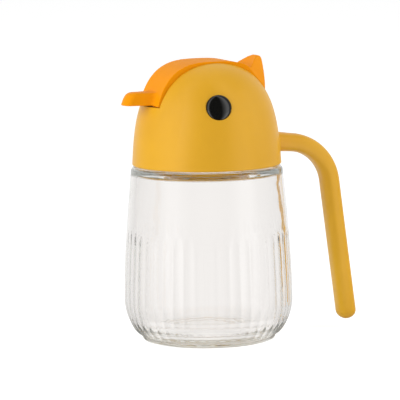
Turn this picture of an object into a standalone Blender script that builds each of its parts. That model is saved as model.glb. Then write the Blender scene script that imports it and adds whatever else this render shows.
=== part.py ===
# Oil dispenser bottle: a fluted glass bottle with a bird-head cap, a flip lid and a side handle.
# The part stands on its foot, with +Z up. The beak of the lid points along -X and the handle is at +X.
# The origin is at the middle of the part's footprint, at the height of the foot.

import math

import bmesh
import bpy
from mathutils import Matrix, Vector

MM = 0.001

# Gap kept between pieces that touch on the real object
SEAT_GAP = 0.3 * MM
# The same gap where two round faces meet, with room for their facets
ROUND_GAP = 0.4 * MM
# Gap round pieces that turn or slide
RUNNING_GAP = 0.5 * MM

# Glass bottle
FOOT_RADIUS = 39.4 * MM
FOOT_HEIGHT = 2.7 * MM
FOOT_ROUNDING = 1.9 * MM
FOOT_RING_WIDTH = 3.6 * MM
FOOT_RECESS = 1.4 * MM
BODY_START_RADIUS = 40.0 * MM
BODY_START_HEIGHT = 3.2 * MM
BODY_RADIUS = 50.0 * MM
BODY_WIDEST_HEIGHT = 24.0 * MM
BODY_BELLY_POWER = 1.65
SHOULDER_RADIUS = 44.65 * MM
SHOULDER_HEIGHT = 103.2 * MM
SHOULDER_ROUNDING = 3.0 * MM
SHOULDER_THICKNESS = 5.0 * MM
TAPER_POWER = 1.6
GLASS_WALL = 3.2 * MM
GLASS_BASE = 6.5 * MM
BASE_ROUNDING = 9.0 * MM
BASE_CROWN = 0.4 * MM
NECK_RADIUS = 29.7 * MM
NECK_WALL = 3.2 * MM
NECK_HEIGHT = 15.8 * MM
LIP_ROUNDING = 1.0 * MM
FLUTE_COUNT = 46
FLUTE_DEPTH = 0.55 * MM
FLUTE_TOP_HEIGHT = 61.0 * MM
FLUTE_FADE = 10.0 * MM

# Head: a drafted dome over the neck of the bottle
RIM_CLEARANCE = 0.8 * MM
HEAD_RADIUS = 44.14 * MM
HEAD_HEIGHT = 62.5 * MM
HEAD_DRAFT = 0.062
HEAD_PLAN_POWER = 2.45
HEAD_RISE_POWER = 3.09
HEAD_WALL = 3.0 * MM
RIM_WALL = 2.2 * MM
RIM_ROUNDING = 0.8 * MM
RIM_CHAMFER = 0.4 * MM

# Inner cover, which carries the thread and closes the head from below
COVER_SKIRT_WALL = 2.6 * MM
THREAD_DEPTH = 1.5 * MM
THREAD_CLEARANCE = 0.4 * MM
COVER_FLANGE = 1.9 * MM
COVER_LIFT = 0.6 * MM
COVER_CHAMFER = 1.0 * MM
DECK_THICKNESS = 2.2 * MM
VENT_RADIUS = 1.6 * MM
VENT_OFFSET = 14.0 * MM
GASKET_THICKNESS = 1.6 * MM
GASKET_OVERHANG = 1.2 * MM
GASKET_INSET = 0.4 * MM

# Flip lid: a strip over the head, with a beak in front and a crest behind
LID_HALF_WIDTH = 14.8 * MM
LID_INSET = 4.94 * MM
LID_DROP = 0.9 * MM
LID_POWER = 3.0
LID_SHEET = 2.2 * MM
LID_FLANGE = 5.5 * MM
LID_SIDE_WALL = 1.6 * MM
LID_FRONT_HEIGHT = 36.4 * MM
LID_REST_GAP = 0.4 * MM
SILL_THICKNESS = 1.5 * MM
CHANNEL_DEPTH = 7.6 * MM
CHANNEL_WALL = 2.2 * MM
CHANNEL_FLOOR = 2.0 * MM
CHANNEL_OVERLAP = 4.0 * MM
PIVOT_X = 19.0 * MM
PIVOT_DROP = 13.0 * MM
LID_SWING_RADIUS = 20.1 * MM
PIN_RADIUS = 1.25 * MM
PIN_BOSS_RADIUS = 3.4 * MM
PIN_BOSS_LENGTH = 3.0 * MM
PIN_BOSS_HOLD = 0.6
LUG_RADIUS = 3.8 * MM
LUG_WIDTH = 2.6 * MM
LUG_STEP = 0.2 * MM

# Beak
BEAK_REACH = 52.7 * MM
BEAK_HEIGHT = 7.5 * MM
BEAK_LIFT = 0.6 * MM
BEAK_HALF_WIDTH = 7.9 * MM
BEAK_TIP_LENGTH = 5.0 * MM
BEAK_TIP_SHARE = 0.8
BEAK_TIP_POWER = 0.8
BEAK_SLOPE = 4.4 * MM
BEAK_FLARE = 3.4 * MM
BEAK_ROOT_DEPTH = 5.0 * MM
BEAK_WALL = 1.4 * MM
BEAK_HOLLOW_LEAD = 0.9 * MM
BEAK_HOLLOW_FLARE = 0.4 * MM
BEAK_HOLLOW_ROOT = 6.0 * MM
# Each level of the beak: share of its height, of its slope and of its width
BEAK_LEVELS = ((0.0, 0.0, 1.0), (0.12, 0.05, 1.0), (0.5, 0.3, 0.99), (0.78, 0.58, 0.96),
               (0.93, 0.9, 0.9), (1.0, 1.35, 0.8))
SEAL_THICKNESS = 0.85 * MM
SEAL_SIDE_GAP = 1.0 * MM
SEAL_REAR_GAP = 0.5 * MM

# Crest
CREST_X = 35.0 * MM
CREST_START_X = 22.0 * MM
CREST_PEAK_X = 30.2 * MM
CREST_RISE = 1.3 * MM
CREST_PEAK_HALF_WIDTH = 4.8 * MM
CREST_WALL = 2.0 * MM
CREST_ROUNDING = 3.2 * MM
CREST_LEAST_ROUNDING = 0.8 * MM
CREST_FOOT_DROP = 8.5 * MM
CREST_SIDE_DROP = 6.5 * MM
CREST_LEAD = 3.0 * MM
CREST_RAMP_EASE = 0.38
STRIP_OVERLAP = 2.0 * MM

# Counterweight, in a pocket that hangs from the crest
WEIGHT_LENGTH = 6.8 * MM
WEIGHT_HALF_WIDTH = 9.0 * MM
WEIGHT_HEIGHT = 11.0 * MM
POCKET_WALL = 1.5 * MM
POCKET_TOP_DROP = 4.0 * MM
POCKET_BACK_OVERLAP = 0.2 * MM
POCKET_LID = 1.4 * MM
RIB_HEIGHT = 9.5 * MM

# Pour spout
SPOUT_BASE_X = 19.5 * MM
SPOUT_RADIUS = 6.5 * MM
SPOUT_WALL = 1.05 * MM
SPOUT_FLANGE_RADIUS = 9.2 * MM
SPOUT_FLANGE = 1.5 * MM
SPOUT_BEND_RADIUS = 14.6 * MM
SPOUT_TIP_SIDE_GAP = 1.0 * MM
SPOUT_TIP_GAP = 2.3 * MM
SPOUT_LIP_STEP = 0.1 * MM
SPOUT_GUTTER_LENGTH = 9.0 * MM
WINDOW_SIDE_GAP = 2.6 * MM
WINDOW_REAR_GAP = 4.0 * MM
WINDOW_FRONT_STEP = 0.5 * MM
DROP_DEPTH = 4.0 * MM

# Eyes: black buttons pressed into the sides of the head
EYE_RADIUS = 7.45 * MM
EYE_DOME = 2.5 * MM
EYE_EDGE = 1.0 * MM
EYE_HEIGHT = 36.9 * MM
EYE_ANGLE = 10.9
EYE_TILT = 14.0
EYE_SOCKET_DEPTH = 1.2 * MM
EYE_STEM_RADIUS = 2.0 * MM
EYE_STEM_LENGTH = 4.4 * MM

# Handle, screwed to the back of the head
HANDLE_HALF_DEPTH = 5.5 * MM
HANDLE_HALF_WIDTH = 6.8 * MM
HANDLE_HEIGHT = 10.6 * MM
HANDLE_ARM = 8.6 * MM
HANDLE_DROOP = 4.0
HANDLE_BEND_RADIUS = 29.5 * MM
HANDLE_LEAN = 7.6
HANDLE_GRIP = 79.0 * MM
HANDLE_POWER = 2.6
HANDLE_ROOT_SCALE = 1.06
HANDLE_END_ANGLE = 84.0
SCREW_RADIUS = 1.25 * MM
SCREW_HEAD_RADIUS = 2.5 * MM
SCREW_HEAD = 1.7 * MM
SCREW_SEAT_GAP = 0.5 * MM
SCREW_LENGTH = 13.0 * MM
SCREW_SPACING = 5.8 * MM

# Facets
ROUND_STEPS = 48
RING_STEPS = 36
DISC_STEPS = 24
SMALL_STEPS = 16
FLUTE_STEPS = 3
CORNER_STEPS = 3
BEND_STEPS = 8
HEAD_STEPS = 13
HEAD_INNER_STEPS = 8
BELLY_LEVELS = (0.0, 0.1, 0.28, 0.55, 1.0)
FLUTE_LEVELS = (0.33, 0.66, 1.0)
SMOOTH_ANGLE = 35.0
FLUTE_EDGE_ANGLE = 20.0
WELD_DISTANCE = 0.002 * MM
FLAT_ANGLE = 0.05

# How far a cutting body reaches past what it cuts: through a wall, and clear of the whole part
CUT_OVERLAP = 1.0 * MM
CUT_MARGIN = 20.0 * MM

# Sizes that follow from the ones above
NECK_BORE = NECK_RADIUS - NECK_WALL
SPOUT_TIP_HALF_WIDTH = BEAK_TIP_SHARE * (BEAK_HALF_WIDTH - BEAK_WALL) - SPOUT_TIP_SIDE_GAP
NECK_TOP = SHOULDER_HEIGHT + NECK_HEIGHT
RIM_HEIGHT = SHOULDER_HEIGHT + RIM_CLEARANCE
COVER_BOTTOM = RIM_HEIGHT + COVER_LIFT
GASKET_BOTTOM = NECK_TOP + SEAT_GAP
DECK_BOTTOM = GASKET_BOTTOM + GASKET_THICKNESS + SEAT_GAP
DECK_TOP = DECK_BOTTOM + DECK_THICKNESS
LID_CROWN = HEAD_HEIGHT - LID_DROP
LID_REACH = HEAD_RADIUS - LID_INSET
LID_FRONT_Z = RIM_HEIGHT + LID_FRONT_HEIGHT
SILL_HEIGHT = LID_FRONT_Z - LID_REST_GAP
CHANNEL_HALF_WIDTH = LID_HALF_WIDTH + RUNNING_GAP
PIVOT = Vector((PIVOT_X, 0.0, RIM_HEIGHT + HEAD_HEIGHT - PIVOT_DROP))
BEAK_BOTTOM = LID_FRONT_Z + BEAK_LIFT
BEAK_CEILING = BEAK_BOTTOM + BEAK_HEIGHT - BEAK_WALL

# Directions of the handle's grip and arm, measured down from +X
LEAN_ANGLE = math.radians(90.0 - HANDLE_LEAN)
DROOP_ANGLE = math.radians(HANDLE_DROOP)


def power_curve(share, power):
    """The other coordinate of a superellipse quarter whose first one is share, both from 0 to 1."""
    return max(0.0, 1.0 - max(0.0, min(1.0, share)) ** power) ** (1.0 / power)


def signed_power(value, power):
    """value to a power, keeping its sign."""
    return math.copysign(abs(value) ** power, value)


def smooth_step(share):
    """A share from 0 to 1, eased at both ends."""
    share = max(0.0, min(1.0, share))
    return share * share * (3.0 - 2.0 * share)


def arc(centre, radius, start, end, steps):
    """Points on an arc in the plane of a profile, angles in degrees."""
    points = []
    for step in range(steps + 1):
        angle = math.radians(start + (end - start) * step / steps)
        points.append((centre[0] + radius * math.cos(angle), centre[1] + radius * math.sin(angle)))
    return points


def head_profile(offset, steps):
    """The head's outline from its rim up to its crown, moved outwards by offset."""
    points = []
    radius = HEAD_RADIUS + offset
    height = HEAD_HEIGHT + offset
    for step in range(steps + 1):
        angle = 0.5 * math.pi * step / steps
        rise = height * math.sin(angle) ** (2.0 / HEAD_RISE_POWER)
        reach = (radius - HEAD_DRAFT * rise) * max(0.0, math.cos(angle)) ** (2.0 / HEAD_PLAN_POWER)
        points.append((reach, RIM_HEIGHT + rise))
    points[-1] = (0.0, RIM_HEIGHT + height)
    return points


def head_radius_at(height, offset=0.0):
    """The head's radius at a height above the rim."""
    sine = min(1.0, height / (HEAD_HEIGHT + offset)) ** (0.5 * HEAD_RISE_POWER)
    cosine = math.sqrt(1.0 - sine * sine)
    return (HEAD_RADIUS + offset - HEAD_DRAFT * height) * cosine ** (2.0 / HEAD_PLAN_POWER)


def lid_height_at(x, inset=0.0):
    """The height of the lid's outer face, moved inwards by inset, at a distance along X."""
    share = abs(x) / (LID_REACH - inset)
    return RIM_HEIGHT + (LID_CROWN - inset) * power_curve(share, LID_POWER)


def lid_front_at(height, inset=0.0):
    """The distance in front of the axis at which the lid's outer face stands at a height."""
    share = (height - RIM_HEIGHT) / (LID_CROWN - inset)
    return -(LID_REACH - inset) * power_curve(share, LID_POWER)


def lid_curve(inset, bottom, rear, steps):
    """Side outline of the lid's outer face from its lower front edge back to x = rear."""
    front = lid_front_at(bottom, inset)
    start = math.atan2(bottom - RIM_HEIGHT, -front)
    end = math.atan2(lid_height_at(rear, inset) - RIM_HEIGHT, -rear)
    points = []
    for step in range(steps + 1):
        angle = start + (end - start) * step / steps
        wide = abs(math.cos(angle)) / (LID_REACH - inset)
        tall = math.sin(angle) / (LID_CROWN - inset)
        length = (wide ** LID_POWER + tall ** LID_POWER) ** (-1.0 / LID_POWER)
        points.append((-length * math.cos(angle), RIM_HEIGHT + length * math.sin(angle)))
    return points


def material(name, colour, roughness, metallic=0.0, transmission=0.0):
    """A Principled material."""
    made = bpy.data.materials.new(name)
    made.use_nodes = True
    shader = made.node_tree.nodes["Principled BSDF"]
    shader.inputs["Base Color"].default_value = (*colour, 1.0)
    shader.inputs["Roughness"].default_value = roughness
    shader.inputs["Metallic"].default_value = metallic
    shader.inputs["Transmission Weight"].default_value = transmission
    return made


def finish_mesh(mesh, name, smooth_angle=SMOOTH_ANGLE):
    """An object from a bmesh, facing outwards and shaded smooth over its rounds."""
    bmesh.ops.remove_doubles(mesh, verts=mesh.verts, dist=WELD_DISTANCE)
    bmesh.ops.recalc_face_normals(mesh, faces=mesh.faces)
    bmesh.ops.triangulate(mesh, faces=mesh.faces)
    data = bpy.data.meshes.new(name)
    mesh.to_mesh(data)
    mesh.free()
    data.shade_smooth()
    data.set_sharp_from_angle(angle=math.radians(smooth_angle))
    made = bpy.data.objects.new(name, data)
    bpy.context.collection.objects.link(made)
    return made


def turned(name, profile, steps, closed=False):
    """A body turned about Z from a profile of (radius, height) points."""
    mesh = bmesh.new()
    verts = [mesh.verts.new((radius, 0.0, height)) for radius, height in profile]
    pairs = list(zip(verts, verts[1:]))
    if closed:
        pairs.append((verts[-1], verts[0]))
    edges = [mesh.edges.new(pair) for pair in pairs]
    bmesh.ops.spin(mesh, geom=verts + edges, cent=(0.0, 0.0, 0.0), axis=(0.0, 0.0, 1.0),
                   angle=2.0 * math.pi, steps=steps, use_merge=True, use_duplicate=False)
    return finish_mesh(mesh, name)


def lofted(name, rings):
    """A body through rings of points that all hold the same number, closed at both ends."""
    mesh = bmesh.new()
    made = [[mesh.verts.new(point) for point in ring] for ring in rings]
    count = len(rings[0])
    for low, high in zip(made, made[1:]):
        for index in range(count):
            after = (index + 1) % count
            mesh.faces.new((low[index], low[after], high[after], high[index]))
    mesh.faces.new(made[0][::-1])
    mesh.faces.new(made[-1])
    return finish_mesh(mesh, name)


def extruded_across(name, outline, half_width):
    """A side outline of (x, z) points extruded across Y to both sides."""
    rings = [[(x, side * half_width, z) for x, z in outline] for side in (-1.0, 1.0)]
    return lofted(name, rings)


def extruded_up(name, outline, bottom, top):
    """A plan outline of (x, y) points extruded up."""
    return lofted(name, [[(x, y, height) for x, y in outline] for height in (bottom, top)])


def block(name, low, high):
    """A plain block between two corners."""
    outline = [(low[0], low[1]), (high[0], low[1]), (high[0], high[1]), (low[0], high[1])]
    return extruded_up(name, outline, low[2], high[2])


def rod(name, start, end, radius, steps=SMALL_STEPS):
    """A round rod between two points."""
    start = Vector(start)
    end = Vector(end)
    mesh = bmesh.new()
    bmesh.ops.create_cone(mesh, cap_ends=True, segments=steps, radius1=radius, radius2=radius,
                          depth=(end - start).length)
    turn = Vector((0.0, 0.0, 1.0)).rotation_difference(end - start).to_matrix().to_4x4()
    bmesh.ops.transform(mesh, verts=mesh.verts, matrix=Matrix.Translation((start + end) / 2) @ turn)
    return finish_mesh(mesh, name)


def combine(target, operation, *tools):
    """Joins, cuts or intersects target with each tool in turn, and removes the tools."""
    for tool in tools:
        cut = target.modifiers.new(operation.lower(), "BOOLEAN")
        cut.operation = operation
        cut.solver = "EXACT"
        cut.object = tool
        bpy.context.view_layer.update()
        evaluated = target.evaluated_get(bpy.context.evaluated_depsgraph_get())
        mesh = bmesh.new()
        mesh.from_mesh(evaluated.data)
        bmesh.ops.remove_doubles(mesh, verts=mesh.verts, dist=WELD_DISTANCE)
        bmesh.ops.dissolve_degenerate(mesh, edges=mesh.edges, dist=WELD_DISTANCE)
        bmesh.ops.dissolve_limit(mesh, angle_limit=math.radians(FLAT_ANGLE), verts=mesh.verts,
                                 edges=mesh.edges)
        bmesh.ops.triangulate(mesh, faces=mesh.faces)
        target.modifiers.clear()
        mesh.to_mesh(target.data)
        mesh.free()
        bpy.data.objects.remove(tool)
    target.data.shade_smooth()
    target.data.set_sharp_from_angle(angle=math.radians(SMOOTH_ANGLE))
    return target


def dress(made, finish, parent):
    """Gives an object its material and its parent, leaving it where it was modelled."""
    made.data.materials.clear()
    made.data.materials.append(finish)
    made.parent = parent
    made.location = -parent_place(parent)
    return made


def parent_place(parent):
    """Where an empty stands, measured from the bottle's axis at the foot."""
    place = Vector((0.0, 0.0, 0.0))
    while parent.parent is not None:
        place += parent.location
        parent = parent.parent
    return place


def empty(name, place, parent=None):
    """An empty that marks an axis."""
    made = bpy.data.objects.new(name, None)
    made.empty_display_size = 10.0 * MM
    bpy.context.collection.objects.link(made)
    made.parent = parent
    made.location = place
    return made


# Glass bottle

def body_radius(height):
    """Outer radius of the glass body at a height."""
    if height < BODY_WIDEST_HEIGHT:
        share = (BODY_WIDEST_HEIGHT - height) / (BODY_WIDEST_HEIGHT - BODY_START_HEIGHT)
        swell = power_curve(share, BODY_BELLY_POWER)
        return BODY_START_RADIUS + (BODY_RADIUS - BODY_START_RADIUS) * swell
    share = (height - BODY_WIDEST_HEIGHT) / (SHOULDER_HEIGHT - BODY_WIDEST_HEIGHT)
    return BODY_RADIUS - (BODY_RADIUS - SHOULDER_RADIUS) * share ** TAPER_POWER


def flute_depth(height):
    """Depth of the grooves between the flutes at a height, fading out at their top."""
    return FLUTE_DEPTH * smooth_step((FLUTE_TOP_HEIGHT - height) / FLUTE_FADE)


def glass_ring(mesh, radius, height, groove, steps):
    """A ring of vertices round the bottle, drawn in at each groove."""
    ring = []
    for index in range(FLUTE_COUNT * steps):
        depth = groove if index % steps == 0 else 0.0
        angle = 2.0 * math.pi * index / (FLUTE_COUNT * steps)
        reach = radius - depth
        ring.append(mesh.verts.new((reach * math.cos(angle), reach * math.sin(angle), height)))
    return ring


def join_rings(mesh, low, high):
    """Faces between two rings, where one may hold a whole number of times the other's vertices."""
    coarse, fine = (low, high) if len(low) <= len(high) else (high, low)
    share = len(fine) // len(coarse)
    count = len(coarse)
    for index in range(count):
        here = coarse[index]
        after = coarse[(index + 1) % count]
        run = [fine[(index * share + step) % len(fine)] for step in range(share + 1)]
        if share == 1:
            mesh.faces.new((here, after, run[1], run[0]))
            continue
        middle = share // 2
        for step in range(share):
            corner = here if step < middle else after
            mesh.faces.new((corner, run[step + 1], run[step]))
        mesh.faces.new((here, after, run[middle]))


def glass_outside():
    """Outer outline of the bottle from the foot to the lip, as (radius, height, columns) rows."""
    ring_inner = FOOT_RADIUS - FOOT_ROUNDING - FOOT_RING_WIDTH
    rows = [(ring_inner - FOOT_RECESS, FOOT_RECESS, 1), (ring_inner, 0.0, 1)]
    rounding = arc((FOOT_RADIUS - FOOT_ROUNDING, FOOT_ROUNDING), FOOT_ROUNDING, -90.0, 0.0,
                   CORNER_STEPS)
    rows += [(radius, height, 1) for radius, height in rounding]
    rows.append((FOOT_RADIUS, FOOT_HEIGHT, 1))
    belly = BODY_WIDEST_HEIGHT - BODY_START_HEIGHT
    for share in BELLY_LEVELS:
        height = BODY_START_HEIGHT + belly * share
        rows.append((body_radius(height), height, FLUTE_STEPS))
    fade_start = FLUTE_TOP_HEIGHT - FLUTE_FADE
    for share in FLUTE_LEVELS:
        height = BODY_WIDEST_HEIGHT + (fade_start - BODY_WIDEST_HEIGHT) * share
        rows.append((body_radius(height), height, FLUTE_STEPS))
    for share in (0.5, 1.0):
        height = fade_start + FLUTE_FADE * share
        rows.append((body_radius(height), height, FLUTE_STEPS))
    corner = SHOULDER_HEIGHT - SHOULDER_ROUNDING
    for share in (0.5, 1.0):
        height = FLUTE_TOP_HEIGHT + (corner - FLUTE_TOP_HEIGHT) * share
        rows.append((body_radius(height), height, FLUTE_STEPS))
    rounding = arc((body_radius(corner) - SHOULDER_ROUNDING, corner), SHOULDER_ROUNDING, 22.5, 90.0,
                   CORNER_STEPS)
    rows += [(radius, height, FLUTE_STEPS) for radius, height in rounding]
    rows.append((NECK_RADIUS + LIP_ROUNDING, SHOULDER_HEIGHT, 1))
    rows.append((NECK_RADIUS, SHOULDER_HEIGHT + LIP_ROUNDING, 1))
    rows.append((NECK_RADIUS, NECK_TOP - LIP_ROUNDING, 1))
    rows.append((NECK_RADIUS - LIP_ROUNDING, NECK_TOP, 1))
    return rows


def glass_inside():
    """Inner outline of the bottle from the lip down to the middle of the base."""
    rows = [(NECK_BORE + LIP_ROUNDING, NECK_TOP), (NECK_BORE, NECK_TOP - LIP_ROUNDING)]
    under = SHOULDER_HEIGHT - SHOULDER_THICKNESS
    rows.append((NECK_BORE, under + LIP_ROUNDING))
    rows.append((NECK_BORE + LIP_ROUNDING, under))
    corner = under - SHOULDER_ROUNDING
    reach = body_radius(corner) - GLASS_WALL
    rows += arc((reach - SHOULDER_ROUNDING, corner), SHOULDER_ROUNDING, 90.0, 0.0, CORNER_STEPS)
    floor_corner = GLASS_BASE + BASE_ROUNDING
    for share in (0.25, 0.5, 0.75):
        height = corner + (BODY_WIDEST_HEIGHT - corner) * share
        rows.append((body_radius(height) - GLASS_WALL, height))
    low_reach = body_radius(floor_corner) - GLASS_WALL
    rows.append((body_radius(BODY_WIDEST_HEIGHT) - GLASS_WALL, BODY_WIDEST_HEIGHT))
    rows += arc((low_reach - BASE_ROUNDING, floor_corner), BASE_ROUNDING, 0.0, -90.0, CORNER_STEPS + 1)
    return rows


def make_glass():
    """The bottle: fluted outside over its lower half, smooth inside, open at the neck."""
    mesh = bmesh.new()
    centre_low = mesh.verts.new((0.0, 0.0, FOOT_RECESS + BASE_CROWN))
    rings = []
    for radius, height, steps in glass_outside():
        groove = flute_depth(height) if steps > 1 else 0.0
        rings.append(glass_ring(mesh, radius, height, groove, steps))
    for radius, height in glass_inside():
        rings.append(glass_ring(mesh, radius, height, 0.0, 1))
    centre_high = mesh.verts.new((0.0, 0.0, GLASS_BASE + BASE_CROWN))
    for low, high in zip(rings, rings[1:]):
        join_rings(mesh, low, high)
    for centre, ring in ((centre_low, rings[0]), (centre_high, rings[-1])):
        for index, vertex in enumerate(ring):
            mesh.faces.new((centre, ring[(index + 1) % len(ring)], vertex))
    return finish_mesh(mesh, "glass_bottle", FLUTE_EDGE_ANGLE)


# Head

def channel_outline(inset, sill, rear_height):
    """Side outline of the space over the channel's floor, or over its underside with a larger inset."""
    high = RIM_HEIGHT + HEAD_HEIGHT + CUT_MARGIN
    far = HEAD_RADIUS + CUT_MARGIN
    curve = lid_curve(inset, sill, PIVOT_X - LID_SWING_RADIUS + CHANNEL_OVERLAP, BEND_STEPS)
    rear = [(curve[-1][0], rear_height), (far, rear_height), (far, high), (-far, high), (-far, sill)]
    return curve + rear


def eye_frame(side):
    """The place of an eye's seat on the head and the way it faces."""
    reach = head_radius_at(EYE_HEIGHT)
    angle = math.radians(EYE_ANGLE)
    flat = Vector((-math.sin(angle), side * math.cos(angle), 0.0))
    place = flat * reach + Vector((0.0, 0.0, RIM_HEIGHT + EYE_HEIGHT))
    tilt = math.radians(EYE_TILT)
    facing = flat * math.cos(tilt) + Vector((0.0, 0.0, math.sin(tilt)))
    return place, facing


def screw_heights():
    """Heights of the two screws that hold the handle."""
    middle = RIM_HEIGHT + HANDLE_HEIGHT
    return middle - 0.5 * SCREW_SPACING, middle + 0.5 * SCREW_SPACING


def make_head():
    """The head shell, with the lid's channel, the pin's bosses, the eye sockets and screw holes."""
    outside = head_profile(0.0, HEAD_STEPS)
    inside = head_profile(-HEAD_WALL, HEAD_INNER_STEPS)
    ledge = COVER_BOTTOM + COVER_FLANGE + SEAT_GAP
    pocket = HEAD_RADIUS - RIM_WALL
    rim = [(pocket, ledge), (pocket, RIM_HEIGHT + RIM_CHAMFER), (pocket + RIM_CHAMFER, RIM_HEIGHT)]
    rim += arc((HEAD_RADIUS - RIM_ROUNDING, RIM_HEIGHT + RIM_ROUNDING), RIM_ROUNDING, -90.0, -10.0,
               CORNER_STEPS)
    above = [point for point in inside if point[1] > ledge + RIM_CHAMFER]
    start = (head_radius_at(ledge - RIM_HEIGHT, -HEAD_WALL), ledge)
    upper = [point for point in outside if point[1] > RIM_HEIGHT + RIM_ROUNDING]
    profile = above[::-1] + [start] + rim + upper
    shell = turned("head_shell", profile, ROUND_STEPS)

    trough = channel_outline(CHANNEL_DEPTH + CHANNEL_FLOOR, SILL_HEIGHT - SILL_THICKNESS,
                             PIVOT.z - LUG_RADIUS - CHANNEL_WALL)
    liner = extruded_across("liner", trough, CHANNEL_HALF_WIDTH + CHANNEL_WALL)
    for side in (-1.0, 1.0):
        inner = PIVOT + Vector((0.0, side * (CHANNEL_HALF_WIDTH + 0.5 * CHANNEL_WALL), 0.0))
        outer = PIVOT + Vector((0.0, side * (CHANNEL_HALF_WIDTH + CHANNEL_WALL + PIN_BOSS_LENGTH), 0.0))
        combine(liner, "UNION", rod("boss", inner, outer, PIN_BOSS_RADIUS))
    combine(liner, "INTERSECT", turned("dome", [(0.0, RIM_HEIGHT)] + outside, ROUND_STEPS))
    combine(shell, "UNION", liner)

    space = channel_outline(CHANNEL_DEPTH, SILL_HEIGHT, PIVOT.z)
    across = Vector((0.0, CHANNEL_HALF_WIDTH, 0.0))
    swing = rod("swing", PIVOT - across, PIVOT + across, LID_SWING_RADIUS + RUNNING_GAP, ROUND_STEPS)
    window_half = SPOUT_TIP_HALF_WIDTH + WINDOW_SIDE_GAP
    window_rear = -SPOUT_BASE_X - WINDOW_REAR_GAP
    window = block("window", (-HEAD_RADIUS - CUT_OVERLAP, -window_half, SILL_HEIGHT),
                   (window_rear, window_half, RIM_HEIGHT + HEAD_HEIGHT))
    inner_wall = head_radius_at(SILL_HEIGHT - RIM_HEIGHT, -HEAD_WALL)
    front = math.sqrt(inner_wall ** 2 - window_half ** 2) - WINDOW_FRONT_STEP
    drop = block("drop", (-front, -window_half, SILL_HEIGHT - DROP_DEPTH),
                 (window_rear, window_half, SILL_HEIGHT + CUT_OVERLAP))
    across_space = extruded_across("space", space, CHANNEL_HALF_WIDTH)
    combine(shell, "DIFFERENCE", across_space, swing, window, drop)

    pin_end = Vector((0.0, pin_half_length() + SEAT_GAP, 0.0))
    combine(shell, "DIFFERENCE", rod("pin_hole", PIVOT - pin_end, PIVOT + pin_end,
                                     PIN_RADIUS + SEAT_GAP))
    for side in (-1.0, 1.0):
        place, facing = eye_frame(side)
        socket = rod("socket", place - facing * EYE_SOCKET_DEPTH, place + facing * EYE_RADIUS,
                     EYE_RADIUS + ROUND_GAP, ROUND_STEPS)
        stem = rod("stem_hole", place - facing * EYE_RADIUS, place, EYE_STEM_RADIUS + SEAT_GAP)
        combine(shell, "DIFFERENCE", socket, stem)
    for height in screw_heights():
        hole = rod("screw_hole", (screw_seat() - CUT_OVERLAP, 0.0, height),
                   (HEAD_RADIUS + CUT_OVERLAP, 0.0, height), SCREW_RADIUS + SEAT_GAP)
        combine(shell, "DIFFERENCE", hole)
    return shell


def make_inner_cover():
    """The inner cover: a threaded skirt, a flange that fills the rim and a deck over the neck."""
    inner = NECK_RADIUS + THREAD_DEPTH + THREAD_CLEARANCE
    outer = inner + COVER_SKIRT_WALL
    flange = HEAD_RADIUS - RIM_WALL - ROUND_GAP
    profile = [(0.0, DECK_BOTTOM), (inner, DECK_BOTTOM), (inner, COVER_BOTTOM),
               (flange, COVER_BOTTOM), (flange, COVER_BOTTOM + COVER_FLANGE),
               (outer + COVER_CHAMFER, COVER_BOTTOM + COVER_FLANGE),
               (outer, COVER_BOTTOM + COVER_FLANGE + COVER_CHAMFER),
               (outer, DECK_TOP - COVER_CHAMFER), (outer - COVER_CHAMFER, DECK_TOP), (0.0, DECK_TOP)]
    cover = turned("inner_cover", profile, RING_STEPS)
    below = DECK_BOTTOM - CUT_OVERLAP
    above = DECK_TOP + CUT_OVERLAP
    pour = rod("pour", (-SPOUT_BASE_X, 0.0, below), (-SPOUT_BASE_X, 0.0, above),
               SPOUT_RADIUS + ROUND_GAP, DISC_STEPS)
    vent = rod("vent", (VENT_OFFSET, 0.0, below), (VENT_OFFSET, 0.0, above), VENT_RADIUS)
    return combine(cover, "DIFFERENCE", pour, vent)


def make_gasket():
    """A flat silicone ring between the lip of the glass and the deck."""
    top = GASKET_BOTTOM + GASKET_THICKNESS
    inner = NECK_BORE + GASKET_INSET
    outer = NECK_RADIUS + GASKET_OVERHANG
    profile = [(inner, GASKET_BOTTOM), (inner, top), (outer, top), (outer, GASKET_BOTTOM)]
    return turned("neck_gasket", profile, RING_STEPS, closed=True)


# Pour spout

def spout_tip_x():
    """Where the spout's lip ends, inside the beak."""
    return -(beak_cavity_reach() - SPOUT_TIP_GAP)


def spout_route():
    """Stations along the spout: centre, direction, and the share of the way from base to tip."""
    lip_top = BEAK_CEILING - 2.0 * SEAT_GAP - SEAL_THICKNESS
    half_height = 0.5 * (lip_top - BEAK_BOTTOM - SPOUT_LIP_STEP)
    level = lip_top - half_height
    bend = SPOUT_BEND_RADIUS
    start = Vector((-SPOUT_BASE_X, 0.0, DECK_BOTTOM + SEAT_GAP))
    turn = Vector((-SPOUT_BASE_X - bend, 0.0, level - bend))
    stations = [(start, Vector((0.0, 0.0, 1.0)))]
    for step in range(BEND_STEPS - 1):
        angle = math.radians(90.0 * step / (BEND_STEPS - 2))
        centre = turn + Vector((bend * math.cos(angle), 0.0, bend * math.sin(angle)))
        stations.append((centre, Vector((-math.sin(angle), 0.0, math.cos(angle)))))
    stations.append((Vector((spout_tip_x(), 0.0, level)), Vector((-1.0, 0.0, 0.0))))
    return stations, half_height


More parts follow.
